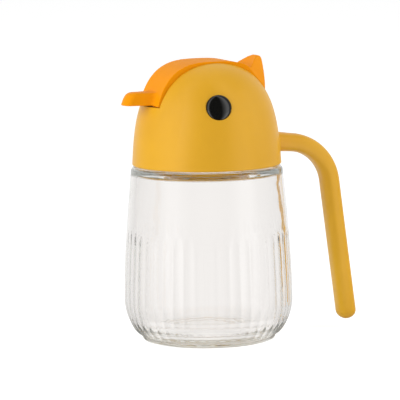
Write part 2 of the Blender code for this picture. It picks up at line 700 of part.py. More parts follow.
def spout_rings(inset, count):
    """Oval rings along the spout, narrowing from the round base to the flat lip."""
    stations, half_height = spout_route()
    lengths = [0.0]
    for before, after in zip(stations, stations[1:]):
        lengths.append(lengths[-1] + (after[0] - before[0]).length)
    rings = []
    last = len(stations) - 1
    for index, (centre, ahead) in enumerate(stations):
        share = smooth_step((lengths[index] - lengths[1]) / (lengths[-2] - lengths[1]))
        wide = SPOUT_RADIUS + (SPOUT_TIP_HALF_WIDTH - SPOUT_RADIUS) * share - inset
        tall = SPOUT_RADIUS + (half_height - SPOUT_RADIUS) * share - inset
        reach = 0.0
        if inset > 0.0 and index in (0, last):
            reach = CUT_OVERLAP if index == last else -CUT_OVERLAP
        across = Vector((0.0, 1.0, 0.0))
        rise = across.cross(ahead) * -1.0
        ring = []
        for point in range(count):
            angle = 2.0 * math.pi * point / count
            offset = across * (wide * math.cos(angle)) + rise * (tall * math.sin(angle))
            ring.append(centre + ahead * reach + offset)
        rings.append(ring)
    return rings


def make_spout():
    """The pour spout: a tube from the deck to the beak, cut open on top to a gutter at its lip."""
    tube = lofted("pour_spout", spout_rings(0.0, SMALL_STEPS))
    flange_bottom = DECK_TOP + SEAT_GAP
    flange = rod("flange", (-SPOUT_BASE_X, 0.0, flange_bottom),
                 (-SPOUT_BASE_X, 0.0, flange_bottom + SPOUT_FLANGE), SPOUT_FLANGE_RADIUS, DISC_STEPS)
    combine(tube, "UNION", flange)
    combine(tube, "DIFFERENCE", lofted("bore", spout_rings(SPOUT_WALL, SMALL_STEPS)))
    stations, half_height = spout_route()
    tip = spout_tip_x()
    level = stations[-1][0].z
    top = level + half_height
    above = top + CUT_OVERLAP
    ahead = tip - CUT_OVERLAP
    rear = tip + SPOUT_GUTTER_LENGTH
    slope = [(ahead, level), (rear, top - SPOUT_WALL), (rear, above), (ahead, above)]
    return combine(tube, "DIFFERENCE", extruded_across("gutter", slope, 2.0 * SPOUT_RADIUS))


# Flip lid

def beak_cavity_reach():
    """How far in front of the axis the hollow of the beak ends."""
    return BEAK_REACH - BEAK_SLOPE - BEAK_WALL + BEAK_HOLLOW_LEAD


def beak_outline(tip, half_width, root, flare):
    """Plan outline of the beak at one level, from its root on one side round the tip to the other."""
    tip_half = half_width * BEAK_TIP_SHARE
    points = [(root + BEAK_ROOT_DEPTH, half_width + flare)]
    for step in range(CORNER_STEPS + 1):
        angle = math.radians(90.0 * step / CORNER_STEPS)
        points.append((root - flare + flare * math.cos(angle),
                       half_width + flare - flare * math.sin(angle)))
    start = min(tip + BEAK_TIP_LENGTH, root - flare - WELD_DISTANCE)
    length = start - tip
    tip_steps = 2 * CORNER_STEPS
    for step in range(tip_steps + 1):
        angle = math.radians(90.0 * step / tip_steps)
        points.append((start - length * signed_power(math.sin(angle), BEAK_TIP_POWER),
                       tip_half * max(0.0, math.cos(angle)) ** BEAK_TIP_POWER))
    return points + [(x, -y) for x, y in points[-2::-1]]


def make_beak():
    """The solid beak, swept up through its levels from a sharp lower edge to a rounded top."""
    rings = []
    for rise, slope, wide in BEAK_LEVELS:
        height = BEAK_BOTTOM + BEAK_HEIGHT * rise
        root = lid_front_at(height)
        outline = beak_outline(-BEAK_REACH + BEAK_SLOPE * slope, BEAK_HALF_WIDTH * wide, root, BEAK_FLARE)
        rings.append([(x, y, height) for x, y in outline])
    return lofted("beak", rings)


def crest_half_width(x, z, inset):
    """Half width of the crest at a place in its side view: its sides are planes that lean inwards."""
    start = Vector((CREST_START_X, lid_height_at(CREST_START_X)))
    foot = Vector((CREST_X, PIVOT.z - CREST_SIDE_DROP))
    peak = Vector((CREST_PEAK_X, crest_peak_height()))
    along = (foot - start).normalized()
    normal = Vector((-along.y, along.x))
    lean = (LID_HALF_WIDTH - CREST_PEAK_HALF_WIDTH) / (peak - start).dot(normal)
    away = max(0.0, (Vector((x, z)) - start).dot(normal))
    return LID_HALF_WIDTH - lean * away - inset


def crest_peak_height():
    """Height of the crest's top."""
    return RIM_HEIGHT + HEAD_HEIGHT + CREST_RISE


def crest_body(name, inset, bottom):
    """The crest, or its hollow with an inset: a ramp up from the strip, with a steep rounded back."""
    peak = crest_peak_height() - inset
    back = CREST_X - inset
    start = CREST_START_X
    start_height = lid_height_at(start) - inset
    lead = start - CREST_LEAD
    outline = [(lead, bottom), (lead, lid_height_at(lead) - inset)]
    ramp = CREST_PEAK_X - start
    for step in range(CORNER_STEPS + 1):
        share = step / CORNER_STEPS
        eased = share + CREST_RAMP_EASE * (smooth_step(share) - share)
        outline.append((start + ramp * share, start_height + (peak - start_height) * eased))
    rounding = max(CREST_ROUNDING - inset, CREST_LEAST_ROUNDING)
    outline += arc((back - rounding, peak - rounding), rounding, 75.0, 0.0, CORNER_STEPS)
    for step in range(1, CORNER_STEPS + 1):
        outline.append((back, peak - rounding + (bottom - peak + rounding) * step / CORNER_STEPS))
    rings = []
    for step in range(-2, 3):
        side = 0.5 * step
        ring = []
        for x, z in outline:
            y = side * crest_half_width(x, z, inset)
            bulge = smooth_step((x - start) / (back - start))
            fall = (1.0 - math.sqrt(1.0 - (y / CREST_X) ** 2)) * bulge
            ring.append((x - CREST_X * fall, y, z))
        rings.append(ring)
    return lofted(name, rings)


def make_lid():
    """The flip lid: strip, beak and crest as one moulding, hollow below, with two hinge lugs."""
    rear = CREST_START_X + STRIP_OVERLAP
    outer = lid_curve(0.0, LID_FRONT_Z, rear, 2 * BEND_STEPS)
    inner = lid_curve(LID_FLANGE, LID_FRONT_Z, rear, BEND_STEPS)
    lid = extruded_across("flip_lid", outer + inner[::-1], LID_HALF_WIDTH)
    crest_foot = PIVOT.z - CREST_FOOT_DROP
    combine(lid, "UNION", make_beak(), crest_body("crest", 0.0, crest_foot))

    below = LID_FRONT_Z - CUT_OVERLAP
    under = lid_curve(LID_SHEET, below, rear, 2 * BEND_STEPS)
    hollow = extruded_across("hollow", under + [(rear, below)], LID_HALF_WIDTH - LID_SIDE_WALL)
    crest_hollow = crest_body("crest_hollow", CREST_WALL, crest_foot - CUT_OVERLAP)
    combine(lid, "DIFFERENCE", hollow, crest_hollow)

    cavity_tip = -beak_cavity_reach()
    cavity_half = BEAK_HALF_WIDTH - BEAK_WALL
    cavity = beak_outline(cavity_tip, cavity_half, lid_front_at(LID_FRONT_Z) + BEAK_HOLLOW_ROOT,
                          BEAK_HOLLOW_FLARE)
    combine(lid, "DIFFERENCE", extruded_up("cavity", cavity, below, BEAK_CEILING))

    for side in (-1.0, 1.0):
        outer_face = LID_HALF_WIDTH - LUG_STEP
        low, high = sorted((side * (outer_face - LUG_WIDTH), side * outer_face))
        lug = rod("lug", (PIVOT.x, low, PIVOT.z), (PIVOT.x, high, PIVOT.z), LUG_RADIUS, DISC_STEPS)
        stay = block("stay", (PIVOT.x - LUG_RADIUS, low, PIVOT.z),
                     (PIVOT.x + LUG_RADIUS, high, lid_height_at(PIVOT.x + LUG_RADIUS) - 0.5 * LID_SHEET))
        combine(lug, "UNION", stay)
        combine(lid, "UNION", lug)
    combine(lid, "UNION", *make_pocket_walls())
    low, high = pocket_inside()
    combine(lid, "DIFFERENCE", block("pocket_space", low, high))
    through = Vector((0.0, LID_HALF_WIDTH + CUT_OVERLAP, 0.0))
    bore = rod("lug_bore", PIVOT - through, PIVOT + through, PIN_RADIUS + SEAT_GAP)
    return combine(lid, "DIFFERENCE", bore)


def pocket_inside():
    """Low and high corner of the space for the counterweight and the plug under it."""
    back = CREST_X - CREST_WALL - POCKET_WALL
    top = PIVOT.z - POCKET_TOP_DROP - POCKET_WALL
    depth = WEIGHT_HEIGHT + POCKET_LID + 2.0 * SEAT_GAP
    low = (back - WEIGHT_LENGTH - 2.0 * SEAT_GAP, -WEIGHT_HALF_WIDTH - SEAT_GAP, top - depth)
    high = (back, WEIGHT_HALF_WIDTH + SEAT_GAP, top)
    return low, high


def make_pocket_walls():
    """The pocket's outside, and two ribs that carry it from the crest."""
    low, high = pocket_inside()
    wall = POCKET_WALL
    walls = block("pocket", (low[0] - wall, low[1] - wall, low[2] + WELD_DISTANCE),
                  (high[0] + wall + POCKET_BACK_OVERLAP, high[1] + wall, high[2] + wall))
    room = crest_half_width(high[0], high[2] + RIB_HEIGHT, CREST_WALL)
    reach = min(high[1], room)
    ribs = []
    for side in (-1.0, 1.0):
        near, far = sorted((side * (reach - wall), side * reach))
        ribs.append(block("rib", (low[0] + wall, near, high[2] + 0.5 * wall),
                          (high[0], far, high[2] + RIB_HEIGHT)))
    return [walls] + ribs


def make_counterweight():
    """The steel slug in the pocket."""
    low, high = pocket_inside()
    gap = SEAT_GAP
    return block("counterweight", (low[0] + gap, low[1] + gap, high[2] - gap - WEIGHT_HEIGHT),
                 (high[0] - gap, high[1] - gap, high[2] - gap))


def make_weight_plug():
    """The plate that closes the pocket from below."""
    low, high = pocket_inside()
    gap = SEAT_GAP
    return block("weight_plug", (low[0] + gap, low[1] + gap, low[2]),
                 (high[0] - gap, high[1] - gap, low[2] + POCKET_LID))


def make_seal():
    """The silicone pad under the beak's roof that closes the spout."""
    top = BEAK_CEILING - SEAT_GAP
    half = BEAK_TIP_SHARE * (BEAK_HALF_WIDTH - BEAK_WALL) - SEAL_SIDE_GAP
    rear = lid_front_at(BEAK_CEILING) + SEAL_REAR_GAP
    return block("spout_seal", (spout_tip_x(), -half, top - SEAL_THICKNESS), (rear, half, top))


def pin_half_length():
    """Half the length of the hinge pin, which ends inside the bosses."""
    return CHANNEL_HALF_WIDTH + CHANNEL_WALL + PIN_BOSS_HOLD * PIN_BOSS_LENGTH


def make_pin():
    """The steel hinge pin."""
    half = Vector((0.0, pin_half_length(), 0.0))
    return rod("hinge_pin", PIVOT - half, PIVOT + half, PIN_RADIUS)


# Eyes

def make_eye(name, side):
    """A domed button with a stem, facing out of its socket."""
    place, facing = eye_frame(side)
    base = -EYE_SOCKET_DEPTH + SEAT_GAP
    profile = [(0.0, base - EYE_STEM_LENGTH), (EYE_STEM_RADIUS, base - EYE_STEM_LENGTH),
               (EYE_STEM_RADIUS, base), (EYE_RADIUS, base), (EYE_RADIUS, base + EYE_EDGE)]
    for step in range(1, CORNER_STEPS + 1):
        angle = math.radians(90.0 * step / (CORNER_STEPS + 1))
        profile.append((EYE_RADIUS * math.cos(angle), base + EYE_EDGE + EYE_DOME * math.sin(angle)))
    profile.append((0.0, base + EYE_EDGE + EYE_DOME))
    eye = turned(name, profile, DISC_STEPS)
    turn = Vector((0.0, 0.0, 1.0)).rotation_difference(facing).to_matrix().to_4x4()
    eye.data.transform(Matrix.Translation(place) @ turn)
    return eye


# Handle

def handle_bend():
    """Where the handle's arm ends, and the centre of its bend."""
    root = head_radius_at(HANDLE_HEIGHT)
    ahead = Vector((math.cos(DROOP_ANGLE), 0.0, -math.sin(DROOP_ANGLE)))
    start = Vector((root, 0.0, RIM_HEIGHT + HANDLE_HEIGHT)) + ahead * HANDLE_ARM
    centre = start + Vector((-math.sin(DROOP_ANGLE), 0.0, -math.cos(DROOP_ANGLE))) * HANDLE_BEND_RADIUS
    return start, ahead, centre


def handle_tip():
    """The centre of the handle's round end, and the direction of its grip."""
    centre = handle_bend()[2]
    ahead = Vector((math.cos(LEAN_ANGLE), 0.0, -math.sin(LEAN_ANGLE)))
    outward = Vector((math.sin(LEAN_ANGLE), 0.0, math.cos(LEAN_ANGLE)))
    end = centre + outward * HANDLE_BEND_RADIUS + ahead * HANDLE_GRIP
    return end, ahead


def handle_stations():
    """Centre, direction and scale of each section of the handle from its root to its tip."""
    start, first, centre = handle_bend()
    inward = HEAD_WALL + HANDLE_ARM
    stations = [(start - first * inward, first, HANDLE_ROOT_SCALE),
                (start - first * HANDLE_ARM, first, HANDLE_ROOT_SCALE), (start, first, 1.0)]
    for step in range(1, BEND_STEPS + 1):
        angle = DROOP_ANGLE + (LEAN_ANGLE - DROOP_ANGLE) * step / BEND_STEPS
        ahead = Vector((math.cos(angle), 0.0, -math.sin(angle)))
        outward = Vector((math.sin(angle), 0.0, math.cos(angle)))
        stations.append((centre + outward * HANDLE_BEND_RADIUS, ahead, 1.0))
    end, ahead = handle_tip()
    stations.append((end - ahead * 0.5 * HANDLE_GRIP, ahead, 1.0))
    end_steps = CORNER_STEPS + 1
    for step in range(end_steps + 1):
        angle = math.radians(HANDLE_END_ANGLE * step / end_steps)
        stations.append((end + ahead * HANDLE_HALF_DEPTH * math.sin(angle), ahead, math.cos(angle)))
    return stations


def make_handle():
    """The handle: a rounded bar that leaves the head, bends down and ends free beside the bottle."""
    rings = []
    for centre, ahead, scale in handle_stations():
        outward = Vector((-ahead.z, 0.0, ahead.x))
        across = Vector((0.0, 1.0, 0.0))
        ring = []
        for point in range(SMALL_STEPS):
            angle = 2.0 * math.pi * (point + 0.5) / SMALL_STEPS
            depth = HANDLE_HALF_DEPTH * scale * signed_power(math.sin(angle), 2.0 / HANDLE_POWER)
            width = HANDLE_HALF_WIDTH * scale * signed_power(math.cos(angle), 2.0 / HANDLE_POWER)
            ring.append(centre + outward * depth + across * width)
        rings.append(ring)
    handle = lofted("handle", rings)
    seat = head_profile(ROUND_GAP, HEAD_STEPS)
    low = (HEAD_RADIUS + ROUND_GAP, RIM_HEIGHT - CUT_OVERLAP)
    combine(handle, "DIFFERENCE", turned("seat", [(0.0, low[1]), low] + seat, ROUND_STEPS))
    for height in screw_heights():
        end = screw_seat() + SCREW_LENGTH + SEAT_GAP
        hole = rod("pilot", (screw_seat(), 0.0, height), (end, 0.0, height), SCREW_RADIUS + SEAT_GAP)
        combine(handle, "DIFFERENCE", hole)
    return handle


def screw_seat():
    """Where the screw heads bear inside the head."""
    upper = screw_heights()[1] - RIM_HEIGHT + SCREW_HEAD_RADIUS
    wall = head_radius_at(upper, -HEAD_WALL)
    return math.sqrt(wall ** 2 - SCREW_HEAD_RADIUS ** 2) - SCREW_SEAT_GAP


def make_screw(name, height):
    """A screw through the wall of the head into the handle."""
    seat = screw_seat()
    shank = rod(name, (seat - 0.5 * SCREW_HEAD, 0.0, height), (seat + SCREW_LENGTH, 0.0, height),
                SCREW_RADIUS)
    head = rod("screw_top", (seat - SCREW_HEAD, 0.0, height), (seat, 0.0, height), SCREW_HEAD_RADIUS)
    return combine(shank, "UNION", head)


def build():
    """Models every piece and hangs it from its axis."""
    for old in list(bpy.data.objects):
        bpy.data.objects.remove(old)

    glass = material("glass", (0.85, 0.88, 0.87), 0.03, transmission=1.0)
    yellow = material("yellow_plastic", (0.76, 0.43, 0.06), 0.45)
    orange = material("orange_plastic", (0.95, 0.33, 0.01), 0.4)
    black = material("black_plastic", (0.01, 0.01, 0.01), 0.12)
    white = material("white_plastic", (0.8, 0.79, 0.76), 0.4)
    silicone = material("silicone", (0.78, 0.78, 0.76), 0.6)
    steel = material("steel", (0.6, 0.6, 0.6), 0.3, metallic=1.0)

    # The bottle's axis stands off the origin, which is at the middle of the footprint
    tip, _ = handle_tip()
    handle_reach = tip.x + HANDLE_HALF_DEPTH
    axis = empty("bottle_axis", (0.5 * (BEAK_REACH - handle_reach), 0.0, 0.0))
    head_axis = empty("head_axis", (0.0, 0.0, RIM_HEIGHT), axis)
    lid_axis = empty("lid_axis", PIVOT - Vector((0.0, 0.0, RIM_HEIGHT)), head_axis)

    dress(make_glass(), glass, axis)
    dress(make_gasket(), silicone, head_axis)
    dress(make_head(), yellow, head_axis)
    dress(make_inner_cover(), white, head_axis)
    dress(make_spout(), white, head_axis)
    dress(make_handle(), yellow, head_axis)
    lower, upper = screw_heights()
    dress(make_screw("handle_screw_lower", lower), steel, head_axis)
    dress(make_screw("handle_screw_upper", upper), steel, head_axis)
    dress(make_pin(), steel, head_axis)
    dress(make_eye("eye_left", -1.0), black, head_axis)
    dress(make_eye("eye_right", 1.0), black, head_axis)
    dress(make_lid(), orange, lid_axis)
    dress(make_counterweight(), steel, lid_axis)
    dress(make_weight_plug(), white, lid_axis)
    dress(make_seal(), silicone, lid_axis)


build()
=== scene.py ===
"""Looks of an oil dispenser bottle: fluted glass, a bird-head cap, a flip lid, a side handle."""
import logging
import math
from collections.abc import Callable, Iterator, Sequence
from contextlib import contextmanager
from dataclasses import dataclass, field
from enum import Enum

import bmesh
import bpy
import numpy as np
from bpy.types import NodeSocket, NodeTree, Object
from mathutils import Matrix, Vector


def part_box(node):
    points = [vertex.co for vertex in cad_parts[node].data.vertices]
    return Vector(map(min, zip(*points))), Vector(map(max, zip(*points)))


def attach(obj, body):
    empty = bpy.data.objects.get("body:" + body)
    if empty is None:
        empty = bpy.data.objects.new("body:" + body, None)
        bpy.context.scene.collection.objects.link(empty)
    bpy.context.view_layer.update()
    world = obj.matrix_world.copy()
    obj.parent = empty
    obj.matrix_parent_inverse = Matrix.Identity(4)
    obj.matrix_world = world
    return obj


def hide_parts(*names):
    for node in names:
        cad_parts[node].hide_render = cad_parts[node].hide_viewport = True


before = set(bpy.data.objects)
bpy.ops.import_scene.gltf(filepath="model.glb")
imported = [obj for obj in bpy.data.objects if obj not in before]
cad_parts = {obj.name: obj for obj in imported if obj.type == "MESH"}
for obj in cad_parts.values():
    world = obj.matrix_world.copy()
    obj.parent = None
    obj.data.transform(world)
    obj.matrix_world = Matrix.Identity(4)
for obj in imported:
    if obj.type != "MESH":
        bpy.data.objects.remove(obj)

LOG = logging.getLogger("bottle")
MM = 0.001
TURN = 2.0 * math.pi
SHARP_ANGLE = math.radians(32.0)
# Points nearer than this are one point, and faces thinner than this are dropped, in millimetres
WELD = 1e-4
SLIVER = 2e-3
ROUNDING_STEPS = 4
# The largest share of the way to its neighbours' middle at which a softened skin stays calm
HALF_STEP = 0.5
UP = Vector((0.0, 0.0, 1.0))

# Rows of (radius, height) or (x, z), in millimetres about the bottle's axis
Outline = list[tuple[float, float]]

LOW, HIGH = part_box("glass_bottle")
AXIS_X = 0.5 * (LOW.x + HIGH.x)
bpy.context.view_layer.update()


class Joinery(Enum):
    """How a tool body changes the body that it meets."""

    ADD = "UNION"
    CUT = "DIFFERENCE"
    KEEP = "INTERSECT"


class Side(Enum):
    """The two sides of the bird's head, by the sign of Y."""

    LEFT = -1.0
    RIGHT = 1.0

    def between(self, near: float, far: float) -> list[float]:
        """Two places along Y on this side, the lower value first."""
        return sorted((self.value * near, self.value * far))


class Slot(Enum):
    """The record's material slots."""

    GLASS = "glass"
    YELLOW = "yellow_plastic"
    ORANGE = "orange_plastic"
    BLACK = "black_plastic"
    WHITE = "white_plastic"
    SILICONE = "silicone"
    STEEL = "steel"


class Body(Enum):
    """The moving bodies of the frame."""

    BOTTLE = "bottle"
    COLLAR = "collar"
    HEAD = "head"
    LID = "lid"


# Sums and outlines

def power_curve(share: float, power: float) -> float:
    """The other coordinate of a superellipse quarter whose first one is share."""
    return max(0.0, 1.0 - max(0.0, min(1.0, share)) ** power) ** (1.0 / power)


def signed_power(value: float, power: float) -> float:
    """A power that keeps the value's sign."""
    return math.copysign(abs(value) ** power, value)


def smooth_step(share: float) -> float:
    """A share from 0 to 1, eased at both ends."""
    share = max(0.0, min(1.0, share))
    return share * share * (3.0 - 2.0 * share)


def arc(centre: tuple[float, float], radius: float, start: float, end: float,
        steps: int) -> Outline:
    """Points on an arc of an outline.

    Args:
        centre: The arc's centre.
        radius: Its radius in millimetres.
        start: The first point's angle in degrees.
        end: The last point's angle in degrees.
        steps: The number of chords.

    Returns:
        The points, both ends among them.
    """
    angles = np.radians(np.linspace(start, end, steps + 1))
    return [(centre[0] + radius * math.cos(a), centre[1] + radius * math.sin(a)) for a in angles]


def spaced(outline: Outline, longest: float) -> Outline:
    """An outline with points added so that no chord is longer than a length.

    Args:
        outline: The outline.
        longest: The length that no chord of the result exceeds.

    Returns:
        The outline with the added points.
    """
    points = [outline[0]]
    for before, after in zip(outline, outline[1:]):
        count = max(1, math.ceil(math.dist(before, after) / longest))
        for step in range(1, count + 1):
            share = step / count
            points.append((before[0] + (after[0] - before[0]) * share,
                           before[1] + (after[1] - before[1]) * share))
    return points


# Meshes, in millimetres about the bottle's axis until a piece is placed

def new_object(name: str, points: Sequence, faces: Sequence,
               rows: Sequence[float] | None = None) -> Object:
    """An object from points and faces, welded and facing outwards.

    Args:
        name: The object's name.
        points: Corners in millimetres.
        faces: Corner numbers of each face.
        rows: A number for each point, kept in the attribute "row".

    Returns:
        The object, linked to the scene.
    """
    data = bpy.data.meshes.new(name)
    data.from_pydata(points, [], faces)
    if rows is not None:
        data.attributes.new("row", "FLOAT", "POINT").data.foreach_set("value", rows)
    made = bpy.data.objects.new(name, data)
    bpy.context.scene.collection.objects.link(made)
    with opened(made) as mesh:
        bmesh.ops.remove_doubles(mesh, verts=mesh.verts, dist=WELD)
        bmesh.ops.recalc_face_normals(mesh, faces=mesh.faces)
    return made


@contextmanager
def opened(made: Object) -> Iterator[bmesh.types.BMesh]:
    """An object's mesh, open for edits that are written back.

    Args:
        made: The object.

    Yields:
        The mesh.
    """
    mesh = bmesh.new()
    mesh.from_mesh(made.data)
    yield mesh
    mesh.to_mesh(made.data)
    mesh.free()


def lathe(name: str, rows: Outline, steps: int, loop: bool = False) -> Object:
    """A body turned about Z.

    Args:
        name: The object's name.
        rows: (radius, height) rows. A first or last row on the axis closes to a point.
        steps: The number of columns round the axis.
        loop: True if the last row joins the first, as on a ring.

    Returns:
        The turned object, with the row number of each point in the attribute "row".
    """
    angles = np.arange(steps) * TURN / steps
    points, starts, counts, numbers = [], [], [], []
    for number, (radius, height) in enumerate(rows):
        starts.append(len(points))
        # A row on the axis is a single point
        turned = angles if radius >= WELD else angles[:1]
        points += [(radius * math.cos(a), radius * math.sin(a), height) for a in turned]
        counts.append(len(turned))
        numbers += [float(number)] * len(turned)
    pairs = list(zip(range(len(rows)), range(1, len(rows))))
    if loop:
        pairs.append((len(rows) - 1, 0))
    faces = []
    for low, high in pairs:
        for column in range(steps):
            after = (column + 1) % steps
            corners = [starts[row] + place % counts[row] for row, place in (
                (low, column), (low, after), (high, after), (high, column))]
            faces.append(tuple(dict.fromkeys(corners)))
    return new_object(name, points, faces, numbers)


def loft(name: str, rings: Sequence[Sequence]) -> Object:
    """A body through closed rings with the same number of points, with a flat face at each end.

    Args:
        name: The object's name.
        rings: The rings, from one end to the other.

    Returns:
        The closed body.
    """
    count = len(rings[0])
    last = (len(rings) - 1) * count
    points = [tuple(point) for ring in rings for point in ring]
    faces = []
    for low in range(0, last, count):
        for place in range(count):
            after = (place + 1) % count
            faces.append((low + place, low + after, low + count + after, low + count + place))
    faces += [tuple(range(start, start + count)) for start in (0, last)]
    return new_object(name, points, faces)


def prism(name: str, outline: Outline, half_width: float) -> Object:
    """A side outline of (x, z) points extruded across Y to both sides."""
    return loft(name, [[(x, y, z) for x, z in outline] for y in (-half_width, half_width)])


def slab(name: str, outline: Outline, bottom: float, top: float) -> Object:
    """A plan outline of (x, y) points extruded up."""
    return loft(name, [[(x, y, z) for x, y in outline] for z in (bottom, top)])


def box_tool(low: Sequence[float], high: Sequence[float]) -> Object:
    """A plain block between two corners, for use as a tool."""
    outline = [(low[0], low[1]), (high[0], low[1]), (high[0], high[1]), (low[0], high[1])]
    return slab("tool", outline, low[2], high[2])


def rod_tool(start: Sequence[float], end: Sequence[float], radius: float,
             steps: int = 48) -> Object:
    """A round rod between two points, for use as a tool.

    Args:
        start: The middle of one end.
        end: The middle of the other end.
        radius: The rod's radius.
        steps: The number of its sides.

    Returns:
        The rod.
    """
    begin, finish = Vector(start), Vector(end)
    length = (finish - begin).length
    rod = lathe("tool", [(0.0, 0.0), (radius, 0.0), (radius, length), (0.0, length)], steps)
    turn = UP.rotation_difference(finish - begin).to_matrix().to_4x4()
    rod.data.transform(Matrix.Translation(begin) @ turn)
    return rod


def soft_block(name: str, low: Sequence[float], high: Sequence[float], rounding: float) -> Object:
    """A block between two corners with rounded edges.

    Args:
        name: The object's name.
        low: The lowest corner.
        high: The highest corner.
        rounding: How much the edges are rounded.

    Returns:
        The block.
    """
    made = box_tool(low, high)
    made.name = name
    with opened(made) as mesh:
        bmesh.ops.bevel(mesh, geom=list(mesh.edges), offset=rounding, segments=ROUNDING_STEPS,
                        profile=0.5, affect="EDGES")
    return made


def settle(made: Object) -> Object:
    """Turns an object with modifiers into a plain mesh and removes them.

    Args:
        made: The object.

    Returns:
        The same object.
    """
    bpy.context.view_layer.update()
    graph = bpy.context.evaluated_depsgraph_get()
    fixed = bpy.data.meshes.new_from_object(made.evaluated_get(graph))
    made.modifiers.clear()
    made.data = fixed
    return made


def combine(target: Object, work: Joinery, *tools: Object) -> Object:
    """Joins, cuts or keeps a body with each tool in turn and removes the tools.

    Args:
        target: The body that is changed.
        work: What the tools do to it.
        tools: Closed bodies.

    Returns:
        The changed body.
    """
    for tool in tools:
        joint = target.modifiers.new(work.name.lower(), "BOOLEAN")
        joint.operation = work.value
        joint.solver = "MANIFOLD"
        joint.object = tool
    settle(target)
    if not target.data.polygons:
        raise RuntimeError(f"{target.name}: {work.name} left nothing")
    for tool in tools:
        bpy.data.objects.remove(tool)
    return target


def remesh(made: Object, grid: float) -> Object:
    """Gives a body an even skin of small squares, so that it can be softened.

    Args:
        made: The body.
        grid: The size of the squares.

    Returns:
        The same body.
    """
    skin = made.modifiers.new("skin", "REMESH")
    skin.mode = "VOXEL"
    skin.voxel_size = grid
    return settle(made)


def soften(made: Object, rounds: int, weight: Callable[[np.ndarray], np.ndarray]) -> None:
    """Draws each point towards the middle of its neighbours, which rounds edges and fills corners.

    Args:
        made: The object, with an even skin.
        rounds: How often each point moves.
        weight: Gives the share of the way, from 0 to 1, for each row of points.
    """
    points = np.empty((len(made.data.vertices), 3), np.float32)
    made.data.vertices.foreach_get("co", points.ravel())
    points = points.astype(float)
    edges = np.empty(2 * len(made.data.edges), np.int32)
    made.data.edges.foreach_get("vertices", edges)
    first, second = edges.reshape(-1, 2).T
    ends, others = np.concatenate((first, second)), np.concatenate((second, first))
    valence = np.bincount(ends, minlength=len(points))[:, None]
    share = weight(points)[:, None]
    for _ in range(rounds):
        sums = [np.bincount(ends, points[others, axis], len(points)) for axis in range(3)]
        points += share * (np.stack(sums, 1) / valence - points)
    made.data.vertices.foreach_set("co", points.astype(np.float32).ravel())
    made.data.update()


def drop_slivers(made: Object) -> None:
    """Closes up the needle faces that cuts leave along their edges.

    Args:
        made: The object.
    """
    with opened(made) as mesh:
        bmesh.ops.triangulate(mesh, faces=mesh.faces)
        bmesh.ops.dissolve_degenerate(mesh, dist=SLIVER, edges=mesh.edges)


def everywhere(points: np.ndarray) -> np.ndarray:
    """Half a step for every point."""
    return np.full(len(points), HALF_STEP)


def faded(values: np.ndarray, start: float, reach: float) -> np.ndarray:
    """A share that rises from 0 at start to 1 after a reach, or falls if the reach is negative."""
    return np.clip((values - start) / reach, 0.0, 1.0)


# Nodes

def add_node(tree: NodeTree, kind: str, inputs: dict | None = None,
             **settings: object) -> bpy.types.Node:
    """Adds a node with its settings and its links.

    Args:
        tree: The tree that gets the node.
        kind: The node's type.
        inputs: A value, or the socket to link from, for each input's name or number.
        settings: Properties of the node.

    Returns:
        The node.
    """
    node = tree.nodes.new(kind)
    for name, value in settings.items():
        setattr(node, name, value)
    for key, value in (inputs or {}).items():
        if isinstance(value, NodeSocket):
            tree.links.new(value, node.inputs[key])
        else:
            node.inputs[key].default_value = value
    return node


def linear(code: str) -> tuple[float, float, float, float]:
    """The linear colour of an sRGB hex code.

    Args:
        code: The code, with its hash.

    Returns:
        Red, green, blue and an opacity of 1.
    """
    parts = [int(code[place:place + 2], 16) / 255.0 for place in (1, 3, 5)]
    red, green, blue = (p / 12.92 if p <= 0.04045 else ((p + 0.055) / 1.055) ** 2.4 for p in parts)
    return red, green, blue, 1.0


def per_metre(size_mm: float) -> float:
    """The scale of a texture whose features are so many millimetres apart."""
    return 1.0 / (size_mm * MM)


@dataclass
class Sums:
    """The named values of a node tree, and the nodes that work out more of them."""

    tree: NodeTree
    known: dict[str, NodeSocket | float]

    def work(self, *rows: tuple) -> NodeSocket:
        """Adds a node for each row and names its result.

        Args:
            rows: The result's name, the task and its operands: known names, sockets or numbers.
                The task is a Math operation, or else LINEAR or SMOOTHSTEP, which map a value from
                a range to a range, 0 to 1 where no numbers are given.

        Returns:
            The last result.
        """
        for name, task, *operands in rows:
            inputs = {place: self.known.get(value, value) for place, value in enumerate(operands)}
            if task in ("LINEAR", "SMOOTHSTEP"):
                node = add_node(self.tree, "ShaderNodeMapRange", inputs, interpolation_type=task)
            else:
                node = add_node(self.tree, "ShaderNodeMath", inputs, operation=task)
            self.known[name] = node.outputs[0]
        return self.known[rows[-1][0]]


# Finishes

class Finish:
    """A surface that is built once and shared by its pieces."""

    name: str

    def material(self) -> bpy.types.Material:
        """The finish's material, built when it is first asked for.

        Returns:
            The material, which all pieces with this finish share.
        """
        known = bpy.data.materials.get(self.name)
        if known is not None:
            return known
        made = bpy.data.materials.new(self.name)
        made.use_nodes = True
        made.node_tree.nodes.clear()
        self.paint(made.node_tree)
        return made

    def paint(self, tree: NodeTree) -> None:
        """Fills the material's node tree."""
        raise NotImplementedError


@dataclass(frozen=True)
class Pattern:
    """A noise on a surface, with the distance between its features in millimetres."""

    size_mm: float
    detail: float
    roughness: float = 0.5
    distortion: float = 0.0
    stretch: float = 1.0


